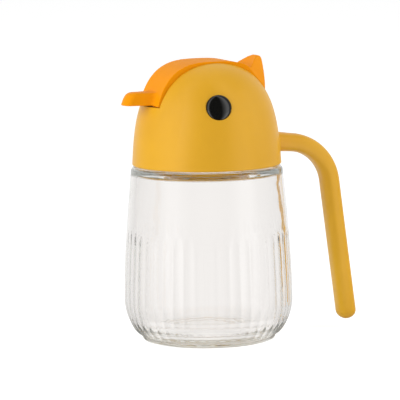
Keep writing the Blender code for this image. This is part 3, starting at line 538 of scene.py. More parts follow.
@dataclass(frozen=True)
class OpaqueFinish(Finish):
    """A surface on which one noise tints, one is raised, and one of the two dulls."""

    name: str
    colours: tuple[str, str]
    roughness: tuple[float, float]
    tint: Pattern
    relief: Pattern
    depth_mm: float
    relief_strength: float = 0.5
    relief_dulls: bool = False
    tint_range: tuple[float, float] = (0.0, 1.0)
    dull_range: tuple[float, float] = (0.0, 1.0)
    edge_mm: float = 0.0
    edge_samples: int = 6
    shine: tuple[tuple[str, float], ...] = ()

    def paint(self, tree: NodeTree) -> None:
        """Fills the material's node tree.

        Args:
            tree: The empty tree.
        """
        place = add_node(tree, "ShaderNodeTexCoord").outputs["Object"]
        noises = []
        for pattern in (self.tint, self.relief):
            spot = add_node(tree, "ShaderNodeMapping", {
                "Vector": place, "Scale": (1.0, 1.0 / pattern.stretch, 1.0)}).outputs[0]
            noises.append(add_node(tree, "ShaderNodeTexNoise", {
                "Vector": spot, "Scale": per_metre(pattern.size_mm), "Detail": pattern.detail,
                "Roughness": pattern.roughness, "Distortion": pattern.distortion}).outputs[0])
        tint, relief = noises
        sums = Sums(tree, {})
        share = sums.work(("share", "LINEAR", tint, *self.tint_range))
        rough = sums.work(("rough", "LINEAR", relief if self.relief_dulls else tint,
                           *self.dull_range, *self.roughness))
        first, second = self.colours
        tone = add_node(tree, "ShaderNodeMix", {
            "Factor": share, "A": linear(first), "B": linear(second)}, data_type="RGBA")
        bump = add_node(tree, "ShaderNodeBump", {
            "Strength": self.relief_strength, "Distance": self.depth_mm * MM, "Height": relief})
        if self.edge_mm:
            edge = add_node(tree, "ShaderNodeBevel", {"Radius": self.edge_mm * MM},
                            samples=self.edge_samples)
            tree.links.new(edge.outputs[0], bump.inputs["Normal"])
        shader = add_node(tree, "ShaderNodeBsdfPrincipled", {
            "Base Color": tone.outputs["Result"], "Roughness": rough, "Normal": bump.outputs[0],
            **dict(self.shine)})
        add_node(tree, "ShaderNodeOutputMaterial", {"Surface": shader.outputs[0]})


@dataclass(frozen=True)
class MouldedPolypropylene(OpaqueFinish):
    """Injection-moulded polypropylene from a spark-eroded tool.

    The tool leaves a fine even grain, so highlights are wide and soft. The colour drifts very
    slightly with the flow of the melt, and no edge is sharper than the tool's own rounding.
    """

    roughness: tuple[float, float] = (0.31, 0.41)
    tint: Pattern = Pattern(26.0, 3.0, distortion=0.6)
    # Drawn about three times as coarse as the real 0.15 mm grain, so that it shows
    relief: Pattern = Pattern(0.45, 2.0, roughness=0.6)
    depth_mm: float = 0.012
    relief_strength: float = 0.6
    relief_dulls: bool = True
    tint_range: tuple[float, float] = (0.3, 0.7)
    edge_mm: float = 0.35
    shine: tuple[tuple[str, float], ...] = (("IOR", 1.49), ("Specular IOR Level", 0.66))


@dataclass(frozen=True)
class PolishedStyrene(OpaqueFinish):
    """Black ABS from a polished tool: a deep gloss that mirrors the room, slightly uneven."""

    name: str = "polished_black_abs"
    colours: tuple[str, str] = ("#0B0B09", "#121210")
    roughness: tuple[float, float] = (0.042, 0.098)
    tint: Pattern = Pattern(0.5, 3.0)
    relief: Pattern = Pattern(2.4, 1.0)
    depth_mm: float = 0.004
    dull_range: tuple[float, float] = (0.3, 0.7)
    shine: tuple[tuple[str, float], ...] = (("IOR", 1.53), ("Specular IOR Level", 0.75))


@dataclass(frozen=True)
class PressedGlass(Finish):
    """Soda-lime glass, pressed and fire polished.

    It is clear with a grey-green tint that shows where the eye looks along the wall, and its skin
    is very slightly wavy, which bends what lies behind.
    """

    name: str = "pressed_soda_lime_glass"
    tint: str = "#D9E4DC"
    shade: str = "#F0F4F0"
    bounce_shade: str = "#FBFCFB"
    density: float = 4.0
    roughness: float = 0.0
    ior: float = 1.52
    wave_mm: float = 9.0
    wave_depth_mm: float = 0.05

    def paint(self, tree: NodeTree) -> None:
        """Fills the material's node tree.

        Args:
            tree: The empty tree.
        """
        place = add_node(tree, "ShaderNodeTexCoord").outputs["Object"]
        wave = add_node(tree, "ShaderNodeTexNoise", {
            "Vector": place, "Scale": per_metre(self.wave_mm), "Detail": 1.0, "Distortion": 0.4})
        bump = add_node(tree, "ShaderNodeBump", {
            "Strength": 1.0, "Distance": self.wave_depth_mm * MM, "Height": wave.outputs[0]})
        shader = add_node(tree, "ShaderNodeBsdfPrincipled", {
            "Base Color": (1.0, 1.0, 1.0, 1.0), "Roughness": self.roughness, "IOR": self.ior,
            "Transmission Weight": 1.0, "Normal": bump.outputs[0]})
        # Real glass casts a light shadow, which the renderer gives only where such rays pass unbent
        path = add_node(tree, "ShaderNodeLightPath")
        both = shader
        for ray, shade in (("Is Diffuse Ray", self.bounce_shade), ("Is Shadow Ray", self.shade)):
            clear = add_node(tree, "ShaderNodeBsdfTransparent", {"Color": linear(shade)})
            both = add_node(tree, "ShaderNodeMixShader", {
                0: path.outputs[ray], 1: both.outputs[0], 2: clear.outputs[0]})
        body = add_node(tree, "ShaderNodeVolumeAbsorption", {
            "Color": linear(self.tint), "Density": self.density})
        add_node(tree, "ShaderNodeOutputMaterial", {
            "Surface": both.outputs[0], "Volume": body.outputs[0]})


@dataclass(frozen=True)
class CuredSilicone(OpaqueFinish):
    """Food-grade silicone rubber: milky, soft to look at, with a dusty bloom."""

    name: str = "cured_silicone"
    colours: tuple[str, str] = ("#DAD9D2", "#E6E5E0")
    roughness: tuple[float, float] = (0.45, 0.65)
    tint: Pattern = Pattern(1.6, 4.0)
    relief: Pattern = Pattern(0.3, 1.0)
    depth_mm: float = 0.01
    relief_strength: float = 0.6
    shine: tuple[tuple[str, float], ...] = (
        ("IOR", 1.41), ("Subsurface Weight", 0.2), ("Subsurface Scale", 1.5 * MM))


@dataclass(frozen=True)
class DrawnSteel(OpaqueFinish):
    """Stainless steel, drawn and cut: long fine scratches in one direction, with a cold sheen."""

    name: str = "drawn_stainless_steel"
    colours: tuple[str, str] = ("#B9B8B4", "#9C9B98")
    roughness: tuple[float, float] = (0.18, 0.45)
    tint: Pattern = Pattern(0.25, 3.0, stretch=12.0)
    relief: Pattern = Pattern(0.25, 3.0, stretch=12.0)
    depth_mm: float = 0.004
    shine: tuple[tuple[str, float], ...] = (("Metallic", 1.0),)


YELLOW = MouldedPolypropylene("moulded_yellow_polypropylene", ("#EEB116", "#E9AC14"))
# Duller, from a coarser tool
ORANGE = MouldedPolypropylene("moulded_orange_polypropylene", ("#FF9F06", "#FA9A04"), (0.45, 0.55),
                              shine=(("IOR", 1.49), ("Specular IOR Level", 0.08)))
NATURAL = MouldedPolypropylene("moulded_natural_polypropylene", ("#E9E7E0", "#E2E0D8"))
BLACK = PolishedStyrene()
GLASS = PressedGlass()
SILICONE = CuredSilicone()
STEEL = DrawnSteel()

# Point attributes that the rules read, and that a finished piece has no use for
MARKS = ("row", "fluted", "threaded", "inner")


def place_piece(made: Object, finish: Finish, body: Body, slot: Slot, *nodes: str) -> None:
    """Brings a finished mesh into the frame and puts it on its body.

    Args:
        made: The object, in millimetres about the bottle's axis.
        finish: Its surface.
        body: The body that carries it.
        slot: The material slot that it stands for; not used.
        nodes: The CAD nodes that it replaces.
    """
    drop_slivers(made)
    data = made.data
    data.transform(Matrix.Translation((AXIS_X, 0.0, 0.0)) @ Matrix.Diagonal((MM, MM, MM, 1.0)))
    for name in MARKS:
        if name in data.attributes:
            data.attributes.remove(data.attributes[name])
    data.materials.clear()
    data.materials.append(finish.material())
    data.shade_smooth()
    data.set_sharp_from_angle(angle=SHARP_ANGLE)
    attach(made, body.value)
    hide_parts(*nodes)
    triangles = sum(len(face.vertices) - 2 for face in data.polygons)
    LOG.info("%s: %d triangles, rides on %s, stands for %s", made.name, triangles, body.value,
             ", ".join(nodes))


# Geometry Nodes

@dataclass
class Rule:
    """A Geometry Nodes tree with named sizes that is run on an object and then made plain."""

    tree: NodeTree
    sizes: dict[str, float]
    sockets: dict[str, str] = field(default_factory=dict)

    @classmethod
    def start(cls, name: str, sizes: dict[str, float]) -> "Rule":
        """A tree whose inputs are a geometry and the named sizes.

        Args:
            name: The tree's name.
            sizes: The value of each named size.

        Returns:
            The rule, still without nodes.
        """
        tree = bpy.data.node_groups.new(name, "GeometryNodeTree")
        for way in ("INPUT", "OUTPUT"):
            tree.interface.new_socket("Geometry", in_out=way, socket_type="NodeSocketGeometry")
        sockets = {size: tree.interface.new_socket(
            size, in_out="INPUT", socket_type="NodeSocketFloat").identifier for size in sizes}
        return cls(tree, sizes, sockets)

    def about_z(self, *marks: str) -> Sums:
        """The sizes, and each point's place, height, turn about Z and marks, as named values.

        Args:
            marks: Names of point attributes.

        Returns:
            The sums, which know each value by its name.
        """
        given = add_node(self.tree, "NodeGroupInput")
        known = {socket.name: socket for socket in given.outputs if socket.name}
        known["place"] = add_node(self.tree, "GeometryNodeInputPosition").outputs[0]
        parts = add_node(self.tree, "ShaderNodeSeparateXYZ", {0: known["place"]})
        known |= dict(zip(("x", "y", "height"), parts.outputs))
        for mark in marks:
            known[mark] = add_node(self.tree, "GeometryNodeInputNamedAttribute", {"Name": mark},
                                   data_type="FLOAT").outputs["Attribute"]
        sums = Sums(self.tree, known)
        sums.work(("angle", "ARCTAN2", "y", "x"), ("turn", "DIVIDE", "angle", TURN))
        return sums

    def swell(self, made: Object, sums: Sums, rise: NodeSocket, finish: Finish) -> Object:
        """Ends the tree by moving each point away from Z and runs it on an object.

        Args:
            made: The object.
            sums: The tree's named values.
            rise: How far each point moves.
            finish: The object's surface.

        Returns:
            The same object.
        """
        flat = add_node(self.tree, "ShaderNodeCombineXYZ", {0: sums.known["x"], 1: sums.known["y"]})
        outward = add_node(self.tree, "ShaderNodeVectorMath", {0: flat.outputs[0]},
                           operation="NORMALIZE")
        move = add_node(self.tree, "ShaderNodeVectorMath", {0: outward.outputs[0], "Scale": rise},
                        operation="SCALE")
        moved = add_node(self.tree, "GeometryNodeSetPosition", {
            "Geometry": sums.known["Geometry"], "Offset": move.outputs[0]})
        return self.run(made, moved.outputs[0], finish)

    def run(self, made: Object, geometry: NodeSocket, finish: Finish) -> Object:
        """Ends the tree, runs it on an object with its sizes and makes the result a plain mesh.

        Args:
            made: The object.
            geometry: What the tree gives back.
            finish: Its surface.

        Returns:
            The same object.
        """
        real = add_node(self.tree, "GeometryNodeRealizeInstances", {"Geometry": geometry})
        dressed = add_node(self.tree, "GeometryNodeSetMaterial", {
            "Geometry": real.outputs[0], "Material": finish.material()})
        add_node(self.tree, "NodeGroupOutput", {"Geometry": dressed.outputs[0]})
        step = made.modifiers.new(self.tree.name, "NODES")
        step.node_group = self.tree
        for size, identifier in self.sockets.items():
            step[identifier] = self.sizes[size]
        return settle(made)


@dataclass(frozen=True)
class Thread:
    """A screw thread as a ridge round Z, in millimetres."""

    start: float
    pitch: float
    turns: float
    height: float
    half_width: float
    fade_turns: float = 0.12

    def sizes(self) -> dict[str, float]:
        """The tree's inputs for this thread.

        Returns:
            The value of each input.
        """
        return {"Thread Start": self.start, "Thread Pitch": self.pitch, "Thread Turns": self.turns,
                "Thread Height": self.height, "Thread Half Width": self.half_width,
                "Thread Fade": self.fade_turns}

    @staticmethod
    def ridge(sums: Sums) -> NodeSocket:
        """Works out the rise in millimetres over a plain wall, signed by "threaded".

        Args:
            sums: The tree's values about Z.

        Returns:
            The rise, also known as "ridge".
        """
        return sums.work(
            ("above", "SUBTRACT", "height", "Thread Start"),
            ("along", "DIVIDE", "above", "Thread Pitch"),
            ("part", "FRACT", "turn"),
            ("rest", "SUBTRACT", "along", "part"),
            ("whole", "ROUND", "rest"),
            ("wound", "ADD", "part", "whole"),
            ("off", "SUBTRACT", "rest", "whole"),
            ("away", "ABSOLUTE", "off"),
            ("far", "MULTIPLY", "away", "Thread Pitch"),
            ("profile", "SMOOTHSTEP", "far", 0.0, "Thread Half Width", "Thread Height", 0.0),
            ("lead in", "SMOOTHSTEP", "wound", 0.0, "Thread Fade"),
            ("left", "SUBTRACT", "Thread Turns", "wound"),
            ("lead out", "SMOOTHSTEP", "left", 0.0, "Thread Fade"),
            ("ends", "MULTIPLY", "lead in", "lead out"),
            ("plain", "MULTIPLY", "profile", "ends"),
            ("ridge", "MULTIPLY", "plain", "threaded"))

    def cut(self, made: Object, finish: Finish) -> Object:
        """Runs a tree that raises this thread on a turned object's "threaded" points.

        Args:
            made: The turned object.
            finish: Its surface.

        Returns:
            The same object.
        """
        rule = Rule.start(made.name + "_thread", self.sizes())
        sums = rule.about_z("threaded")
        return rule.swell(made, sums, self.ridge(sums), finish)


def mark_rows(made: Object, name: str, start: int, end: int, value: float = 1.0) -> None:
    """Writes a point attribute that is a value on some rows of a turned object, and else 0.

    Args:
        made: The turned object.
        name: The attribute's name.
        start: The first row that gets the value.
        end: The first row after those.
        value: The value.
    """
    ranks = np.empty(len(made.data.vertices), np.float32)
    made.data.attributes["row"].data.foreach_get("value", ranks)
    layer = made.data.attributes.new(name, "FLOAT", "POINT")
    marked = (ranks >= start) & (ranks < end)
    layer.data.foreach_set("value", np.where(marked, value, 0.0).astype(np.float32))


# The bottle

@dataclass
class GlassBottle:
    """The glass body: a stepped foot, a fluted lower half, a threaded neck. In millimetres."""

    foot_radius: float = 39.4
    foot_height: float = 2.7
    foot_rounding: float = 1.9
    foot_ring: float = 3.6
    foot_recess: float = 1.4
    start_radius: float = 40.0
    start_height: float = 3.2
    radius: float = 49.98
    widest_height: float = 24.0
    belly_power: float = 1.65
    shoulder_radius: float = 44.65
    shoulder_height: float = 103.2
    shoulder_rounding: float = 3.0
    shoulder_thickness: float = 4.0
    inner_rounding: float = 1.8
    inner_fillet: float = 1.6
    taper_power: float = 1.6
    wall: float = 4.0
    base: float = 6.5
    base_rounding: float = 9.0
    base_crown: float = 0.4
    neck_radius: float = 29.7
    neck_bore: float = 26.5
    neck_top: float = 119.0
    neck_fillet: float = 1.4
    lip_rounding: float = 1.3
    flute_count: int = 46
    flute_columns: int = 8
    flute_depth: float = 0.45
    flute_top: float = 68.0
    flute_fade: float = 10.0
    flute_foot: float = 2.0
    inner_wave: float = 0.35
    inner_wave_size: float = 24.0
    wave_top_gap: float = 8.0
    wave_inner_radius: float = 20.0
    belly_rows: int = 25
    belly_gather: float = 1.7
    row_gap: float = 2.2
    fade_row_gap: float = 0.4
    thread_row_gap: float = 0.33
    thread: Thread = Thread(start=107.6, pitch=4.5, turns=1.6, height=1.2, half_width=1.5)

    def radius_at(self, height: float) -> float:
        """Outer radius of the body at a height.

        Args:
            height: The height over the table.

        Returns:
            The radius between the flutes.
        """
        if height < self.widest_height:
            share = (self.widest_height - height) / (self.widest_height - self.start_height)
            return self.start_radius + (self.radius - self.start_radius) * power_curve(
                share, self.belly_power)
        share = (height - self.widest_height) / (self.shoulder_height - self.widest_height)
        return self.radius - (self.radius - self.shoulder_radius) * share ** self.taper_power

    def outside(self) -> tuple[Outline, tuple[int, int], tuple[int, int]]:
        """Outer rows from the middle of the underside to the lip.

        Returns:
            The rows, and the spans of them that are fluted and threaded.
        """
        recess, lip = self.foot_recess, self.lip_rounding
        ring = self.foot_radius - self.foot_rounding - self.foot_ring
        crown = self.base_crown
        rows = spaced([(0.0, recess + crown), (0.7 * ring, recess + 0.5 * crown),
                       (ring - recess, recess)], 6.0)
        rows += arc((ring - recess, 0.0), recess, 60.0, 0.0, 4)[:-1]
        rows += spaced([(ring + 0.2, 0.0), (self.foot_radius - self.foot_rounding, 0.0)], 1.5)
        centre = (self.foot_radius - self.foot_rounding, self.foot_rounding)
        rows += arc(centre, self.foot_rounding, -80.0, 0.0, 6)
        rows += [(self.foot_radius, self.foot_height - 0.3),
                 (self.foot_radius + 0.12, self.foot_height + 0.05),
                 (self.start_radius - 0.3, self.foot_height + 0.25)]
        plain = len(rows)
        heights = [self.start_height + (self.widest_height - self.start_height)
                   * (step / self.belly_rows) ** self.belly_gather
                   for step in range(self.belly_rows + 1)]
        fade = self.flute_top - self.flute_fade
        corner = self.shoulder_height - self.shoulder_rounding
        heights += list(np.arange(self.widest_height + 1.6, fade - 1.0, self.row_gap))
        heights += list(np.arange(fade - 0.5, self.flute_top + 0.6, self.fade_row_gap))
        heights += list(np.linspace(self.flute_top + 2.5, corner - 0.5, 12))
        rows += [(self.radius_at(height), float(height)) for height in heights]
        fluted = len(rows)
        middle = (self.radius_at(corner) - self.shoulder_rounding, corner)
        rows += arc(middle, self.shoulder_rounding, 2.0, 90.0, 10)
        centre = (self.neck_radius + self.neck_fillet, self.shoulder_height + self.neck_fillet)
        rows += spaced([(middle[0] - 1.0, self.shoulder_height),
                        (centre[0] + 0.5, self.shoulder_height)], 3.0)
        rows += arc(centre, self.neck_fillet, 270.0, 180.0, 5)
        smooth = len(rows)
        rows += [(self.neck_radius, float(height)) for height in np.arange(
            centre[1] + 0.3, self.neck_top - lip - 0.1, self.thread_row_gap)]
        threaded = len(rows)
        rows += arc((self.neck_radius - lip, self.neck_top - lip), lip, 0.0, 90.0, 6)
        return rows, (plain, fluted), (smooth, threaded)

    def inside(self) -> Outline:
        """Inner rows from the lip down to the middle of the base.

        Returns:
            The rows.
        """
        lip, fillet, rounding = self.lip_rounding, self.inner_fillet, self.inner_rounding
        under = self.shoulder_height - self.shoulder_thickness
        corner = under - rounding
        reach = self.radius_at(corner) - self.wall
        floor = self.base + self.base_rounding
        low = self.radius_at(floor) - self.wall
        rows = arc((self.neck_bore + lip, self.neck_top - lip), lip, 90.0, 180.0, 6)
        rows += spaced([(self.neck_bore, self.neck_top - lip - 1.0),
                        (self.neck_bore, under + fillet)], 2.5)
        rows += arc((self.neck_bore + fillet, under + fillet), fillet, 190.0, 270.0, 5)
        rows += spaced([(self.neck_bore + 3.0, under), (reach - rounding - 0.5, under)], 2.5)
        rows += arc((reach - rounding, corner), rounding, 90.0, 0.0, 9)
        rows += [(self.radius_at(float(height)) - self.wall, float(height))
                 for height in np.arange(corner - 2.0, floor + 0.5, -self.row_gap)]
        rows += arc((low - self.base_rounding, floor), self.base_rounding, 0.0, -88.0, 12)
        last = rows[-1][0]
        rows += spaced([(0.92 * last, self.base), (0.5 * last, self.base + 0.6 * self.base_crown),
                        (0.0, self.base + self.base_crown)], 4.0)
        return rows

    def flute(self, made: Object) -> Object:
        """Runs the tree that cuts the flutes, raises the thread and waves the inner wall.

        Args:
            made: The turned body with its "fluted", "threaded" and "inner" points.

        Returns:
            The same object as a plain mesh.
        """
        sizes = {"Flute Count": float(self.flute_count), "Flute Depth": self.flute_depth,
                 "Flute Top": self.flute_top, "Flute Fade": self.flute_fade,
                 "Flute Foot": self.start_height, "Flute Run In": self.flute_foot,
                 "Wave Depth": self.inner_wave, "Wave Size": self.inner_wave_size}
        rule = Rule.start("pressed_flutes", sizes | self.thread.sizes())
        sums = rule.about_z("fluted", "threaded", "inner")
        # A round cutter that rises out of the wall at the top of the flutes and at their foot
        sums.work(
            ("cells", "MULTIPLY", "turn", "Flute Count"),
            ("aside", "PINGPONG", "cells", 0.5),
            ("twice", "MULTIPLY", "aside", 2.0),
            ("square", "POWER", "twice", 2.0),
            ("crown", "MULTIPLY", "square", "Flute Depth"),
            ("below top", "SUBTRACT", "Flute Top", "height"),
            ("fall", "LINEAR", "below top", 0.0, "Flute Fade", 0.0, "Flute Depth"),
            ("over foot", "SUBTRACT", "height", "Flute Foot"),
            ("run in", "LINEAR", "over foot", 0.0, "Flute Run In"),
            ("cutter", "MULTIPLY", "fall", "run in"),
            ("bite", "SUBTRACT", "cutter", "crown"),
            ("groove", "MAXIMUM", "bite", 0.0),
            ("inward", "MULTIPLY", "groove", "fluted"))
        self.thread.ridge(sums)
        scale = sums.work(("wave scale", "DIVIDE", 1.0, "Wave Size"))
        sums.known["noise"] = add_node(rule.tree, "ShaderNodeTexNoise", {
            "Vector": sums.known["place"], "Scale": scale, "Detail": 1.0}).outputs[0]
        rise = sums.work(
            ("centred", "SUBTRACT", "noise", 0.5),
            ("deep", "MULTIPLY", "centred", "Wave Depth"),
            ("wave", "MULTIPLY", "deep", "inner"),
            ("raised", "SUBTRACT", "ridge", "inward"),
            ("rise", "ADD", "raised", "wave"))
        return rule.swell(made, sums, rise, GLASS)

    def build(self) -> None:
        """Turns the body, cuts its flutes and dresses it."""
        outer, flutes, screw = self.outside()
        inner = self.inside()
        made = lathe("glass_body", outer + inner, self.flute_count * self.flute_columns)
        calm = self.shoulder_height - self.wave_top_gap
        wavy = [len(outer) + row for row, (radius, height) in enumerate(inner)
                if height < calm and radius > self.wave_inner_radius]
        mark_rows(made, "fluted", *flutes)
        mark_rows(made, "threaded", *screw)
        # The noise runs from 0 to 1, so twice its swing gives the full wave
        mark_rows(made, "inner", wavy[0], wavy[-1] + 1, 2.0)
        self.flute(made)
        place_piece(made, GLASS, Body.BOTTLE, Slot.GLASS, "glass_bottle")


# The head

# The two screws that hold the handle from inside the dome, and their holes' radius
SCREW_HEIGHTS = (111.7, 117.5)
SCREW_HOLE = 1.5


@dataclass(frozen=True)
class Dome:
    """The drafted dome of the bird's head, squarer than a ball. Sizes in millimetres."""

    radius: float = 44.14
    height: float = 62.5
    draft: float = 0.062
    plan_power: float = 2.45
    rise_power: float = 3.09
    rim: float = 104.0

    def profile(self, offset: float, steps: int) -> Outline:
        """The outline from the rim up to the crown, moved outwards by offset.

        Args:
            offset: How far outwards, or inwards where negative.
            steps: The number of chords.

        Returns:
            The outline.
        """
        points = []
        radius, height = self.radius + offset, self.height + offset
        for step in range(steps + 1):
            # Angles gather at both ends, where the outline's power would leave long chords
            angle = 0.25 * math.pi * (1.0 - math.cos(math.pi * step / steps))
            rise = height * math.sin(angle) ** (2.0 / self.rise_power)
            share = max(0.0, math.cos(angle)) ** (2.0 / self.plan_power)
            points.append(((radius - self.draft * rise) * share, self.rim + rise))
        points[-1] = (0.0, self.rim + height)
        return points

    def radius_at(self, height: float, offset: float = 0.0) -> float:
        """The radius at a height above the rim.

        Args:
            height: The height above the rim.
            offset: How far the dome is moved outwards.

        Returns:
            The radius.
        """
        sine = min(1.0, max(0.0, height) / (self.height + offset)) ** (0.5 * self.rise_power)
        cosine = math.sqrt(1.0 - sine * sine)
        return (self.radius + offset - self.draft * height) * cosine ** (2.0 / self.plan_power)


@dataclass(frozen=True)
class LidForm:
    """Outlines that the lid and its channel share. Sizes in millimetres."""

    rim: float = 104.0
    reach: float = 39.2
    crown: float = 61.6
    power: float = 3.0
    half_width: float = 14.8
    front_height: float = 140.4
    pivot: tuple[float, float] = (19.0, 153.5)
    swing: float = 20.1

    def height_at(self, x: float, inset: float = 0.0) -> float:
        """The height of the lid's face at a place along X, moved inwards by inset."""
        share = abs(x) / (self.reach - inset)
        return self.rim + (self.crown - inset) * power_curve(share, self.power)

    def front_at(self, height: float, inset: float = 0.0) -> float:
        """The place along X where the lid's face stands in front at a height."""
        share = (height - self.rim) / (self.crown - inset)
        return -(self.reach - inset) * power_curve(share, self.power)

    def curve(self, inset: float, bottom: float, rear: float, steps: int) -> Outline:
        """Side outline of the lid's face from its lower front edge back to a place along X.

        Args:
            inset: How far the face is moved inwards.
            bottom: The height of the lower front edge.
            rear: The place along X where the outline ends.
            steps: The number of chords.

        Returns:
            The outline.
        """
        start = math.atan2(bottom - self.rim, -self.front_at(bottom, inset))
        end = math.atan2(self.height_at(rear, inset) - self.rim, -rear)
        points = []
        for angle in np.linspace(start, end, steps + 1):
            wide = abs(math.cos(angle)) / (self.reach - inset)
            tall = math.sin(angle) / (self.crown - inset)
            length = (wide ** self.power + tall ** self.power) ** (-1.0 / self.power)
            points.append((-length * math.cos(angle), self.rim + length * math.sin(angle)))
        return points


@dataclass
class HeadShell:
    """The yellow dome with the lid's channel, pin bosses, eye sockets and screw holes."""

    dome: Dome = Dome()
    lid: LidForm = LidForm()
    wall: float = 3.0
    rim_wall: float = 2.2
    rim_rounding: float = 0.9
    ledge: float = 106.8
    columns: int = 288
    rows: int = 100
    sill: float = 140.0
    sill_thickness: float = 1.5
    channel_depth: float = 7.6
    channel_floor: float = 2.0
    channel_wall: float = 2.2
    channel_half: float = 15.3
    rear_depth: float = 3.8
    liner_depth: float = 0.6
    swing_gap: float = 0.5
    boss_radius: float = 3.4
    boss_length: float = 3.0
    pin_hole: float = 1.4
    window_half: float = 6.8
    window_rear: float = -23.5
    drop_depth: float = 4.0
    eye_radius: float = 7.45
    eye_gap: float = 0.06
    socket_depth: float = 1.2
    stem_radius: float = 2.15
    eye_height: float = 36.9
    eye_angle: float = 10.9
    eye_tilt: float = 14.0

    def trough(self, inset: float, sill: float, rear_height: float) -> Outline:
        """Side outline of the space over the channel's floor.

        Args:
            inset: How deep the floor lies under the lid's face.
            sill: The height of the floor's front edge.
            rear_height: The height of the floor behind the lid.

        Returns:
            The outline.
        """
        far, high = self.dome.radius + 20.0, self.dome.rim + self.dome.height + 20.0
        curve = self.lid.curve(inset, sill, self.lid.pivot[0] - self.lid.swing + 4.0, 60)
        return curve + [(curve[-1][0], rear_height), (far, rear_height), (far, high), (-far, high),
                        (-far, sill)]

    def eye_seat(self, side: Side) -> tuple[Vector, Vector]:
        """The place of an eye's seat on the dome, and the way that it faces.

        Args:
            side: The side of the head.

        Returns:
            The place and the direction.
        """
        angle, tilt = math.radians(self.eye_angle), math.radians(self.eye_tilt)
        flat = Vector((-math.sin(angle), side.value * math.cos(angle), 0.0))
        place = flat * self.dome.radius_at(self.eye_height)
        place.z = self.dome.rim + self.eye_height
        return place, flat * math.cos(tilt) + UP * math.sin(tilt)

    def shell(self) -> Object:
        """The hollow dome with its rim, before anything is cut.

        Returns:
            The dome.
        """
        pocket = self.dome.radius - self.rim_wall
        rim = self.dome.rim
        rounding = self.rim_rounding
        inside = [p for p in self.dome.profile(-self.wall, 60) if p[1] > self.ledge + 0.4]
        start = (self.dome.radius_at(self.ledge - rim, -self.wall), self.ledge)
        edge = spaced([(pocket, self.ledge), (pocket, rim + 0.4)], 0.8) + [(pocket + 0.4, rim)]
        edge += arc((self.dome.radius - rounding, rim + rounding), rounding, -90.0, -6.0, 7)
        outside = [p for p in self.dome.profile(0.0, self.rows) if p[1] > rim + rounding]
        return lathe("head_dome", inside[::-1] + [start] + edge + outside, self.columns)

    def liner(self) -> Object:
        """The channel's walls and floor with the bosses of the pin, kept inside the dome.

        Returns:
            The liner.
        """
        x, z = self.lid.pivot
        outer = self.channel_half + self.channel_wall
        made = prism("liner", self.trough(
            self.channel_depth + self.channel_floor, self.sill - self.sill_thickness,
            z - self.rear_depth - self.channel_wall), outer)
        for side in Side:
            near, far = side.between(outer - 0.5 * self.channel_wall, outer + self.boss_length)
            combine(made, Joinery.ADD, rod_tool((x, near, z), (x, far, z), self.boss_radius))
        buried = [(0.0, self.dome.rim + 1.0)] + self.dome.profile(-self.liner_depth, 80)[2:]
        return combine(made, Joinery.KEEP, lathe("buried", buried, 96))

    def openings(self) -> list[Object]:
        """What cuts the channel, the lid's swing, the spout's window and drop, and the pin's hole.

        Returns:
            The tools.
        """
        x, z = self.lid.pivot
        half, deep = self.channel_half, self.sill - self.drop_depth
        pin = half + self.channel_wall + 0.6 * self.boss_length + 0.3
        inner_wall = self.dome.radius_at(self.sill - self.dome.rim, -self.wall)
        front = math.sqrt(inner_wall ** 2 - self.window_half ** 2) - 0.5
        return [
            prism("space", self.trough(self.channel_depth, self.sill, z), half),
            rod_tool((x, -half, z), (x, half, z), self.lid.swing + self.swing_gap, 160),
            box_tool((-self.dome.radius - 1.0, -self.window_half, self.sill),
                     (self.window_rear, self.window_half, self.dome.rim + self.dome.height)),
            box_tool((-front, -self.window_half, deep),
                     (self.window_rear, self.window_half, self.sill + 1.0)),
            rod_tool((x, -pin, z), (x, pin, z), self.pin_hole)]

    def build(self) -> None:
        """Turns the dome, adds the channel's liner, cuts every opening and dresses it."""
        shell = combine(self.shell(), Joinery.ADD, self.liner())
        combine(shell, Joinery.CUT, *self.openings())
        for side in Side:
            place, facing = self.eye_seat(side)
            socket = rod_tool(place - facing * self.socket_depth, place + facing * self.eye_radius,
                              self.eye_radius + self.eye_gap, 96)
            stem = rod_tool(place - facing * self.eye_radius, place, self.stem_radius)
            combine(shell, Joinery.CUT, socket, stem)
        for height in SCREW_HEIGHTS:
            combine(shell, Joinery.CUT, rod_tool(
                (30.0, 0.0, height), (self.dome.radius + 1.0, 0.0, height), SCREW_HOLE))
        place_piece(shell, YELLOW, Body.HEAD, Slot.YELLOW, "head_shell")


@dataclass
class Eye:
    """A black domed button with a narrow rim, pressed into the head by its stem."""

    side: Side
    shell: HeadShell
    radius: float = 7.45
    base: float = -0.9
    edge: float = 1.0
    edge_rounding: float = 0.25
    low_chamfer: float = 0.2
    rim_width: float = 0.2
    dip: float = 0.12
    dome: float = 2.35
    stem_radius: float = 2.0
    stem_length: float = 4.4
    stem_chamfer: float = 0.3

    def build(self) -> None:
        """Turns the button, sets it in its socket and dresses it."""
        low, foot, r = self.base, self.base - self.stem_length, self.edge_rounding
        stem, soft = self.stem_radius, self.stem_chamfer
        shoulder, inner = low + self.edge, self.radius - self.rim_width
        rows = [(0.0, foot), (stem - soft, foot), (stem, foot + soft), (stem, low - soft),
                (stem + soft, low), (self.radius - self.low_chamfer, low),
                (self.radius, low + self.low_chamfer)]
        rows += arc((self.radius - r, shoulder - r), r, 0.0, 90.0, 4)
        rows.append((inner + self.dip, shoulder))
        rows += [(inner * math.cos(a), shoulder - self.dip + self.dome * math.sin(a))
                 for a in np.radians(np.linspace(2.0, 90.0, 30))]
        rows[-1] = (0.0, rows[-1][1])
        name = f"eye_{self.side.name.lower()}"
        button = lathe(name + "_button", rows, 96)
        place, facing = self.shell.eye_seat(self.side)
        turn = UP.rotation_difference(facing).to_matrix().to_4x4()
        button.data.transform(Matrix.Translation(place) @ turn)
        place_piece(button, BLACK, Body.HEAD, Slot.BLACK, name)


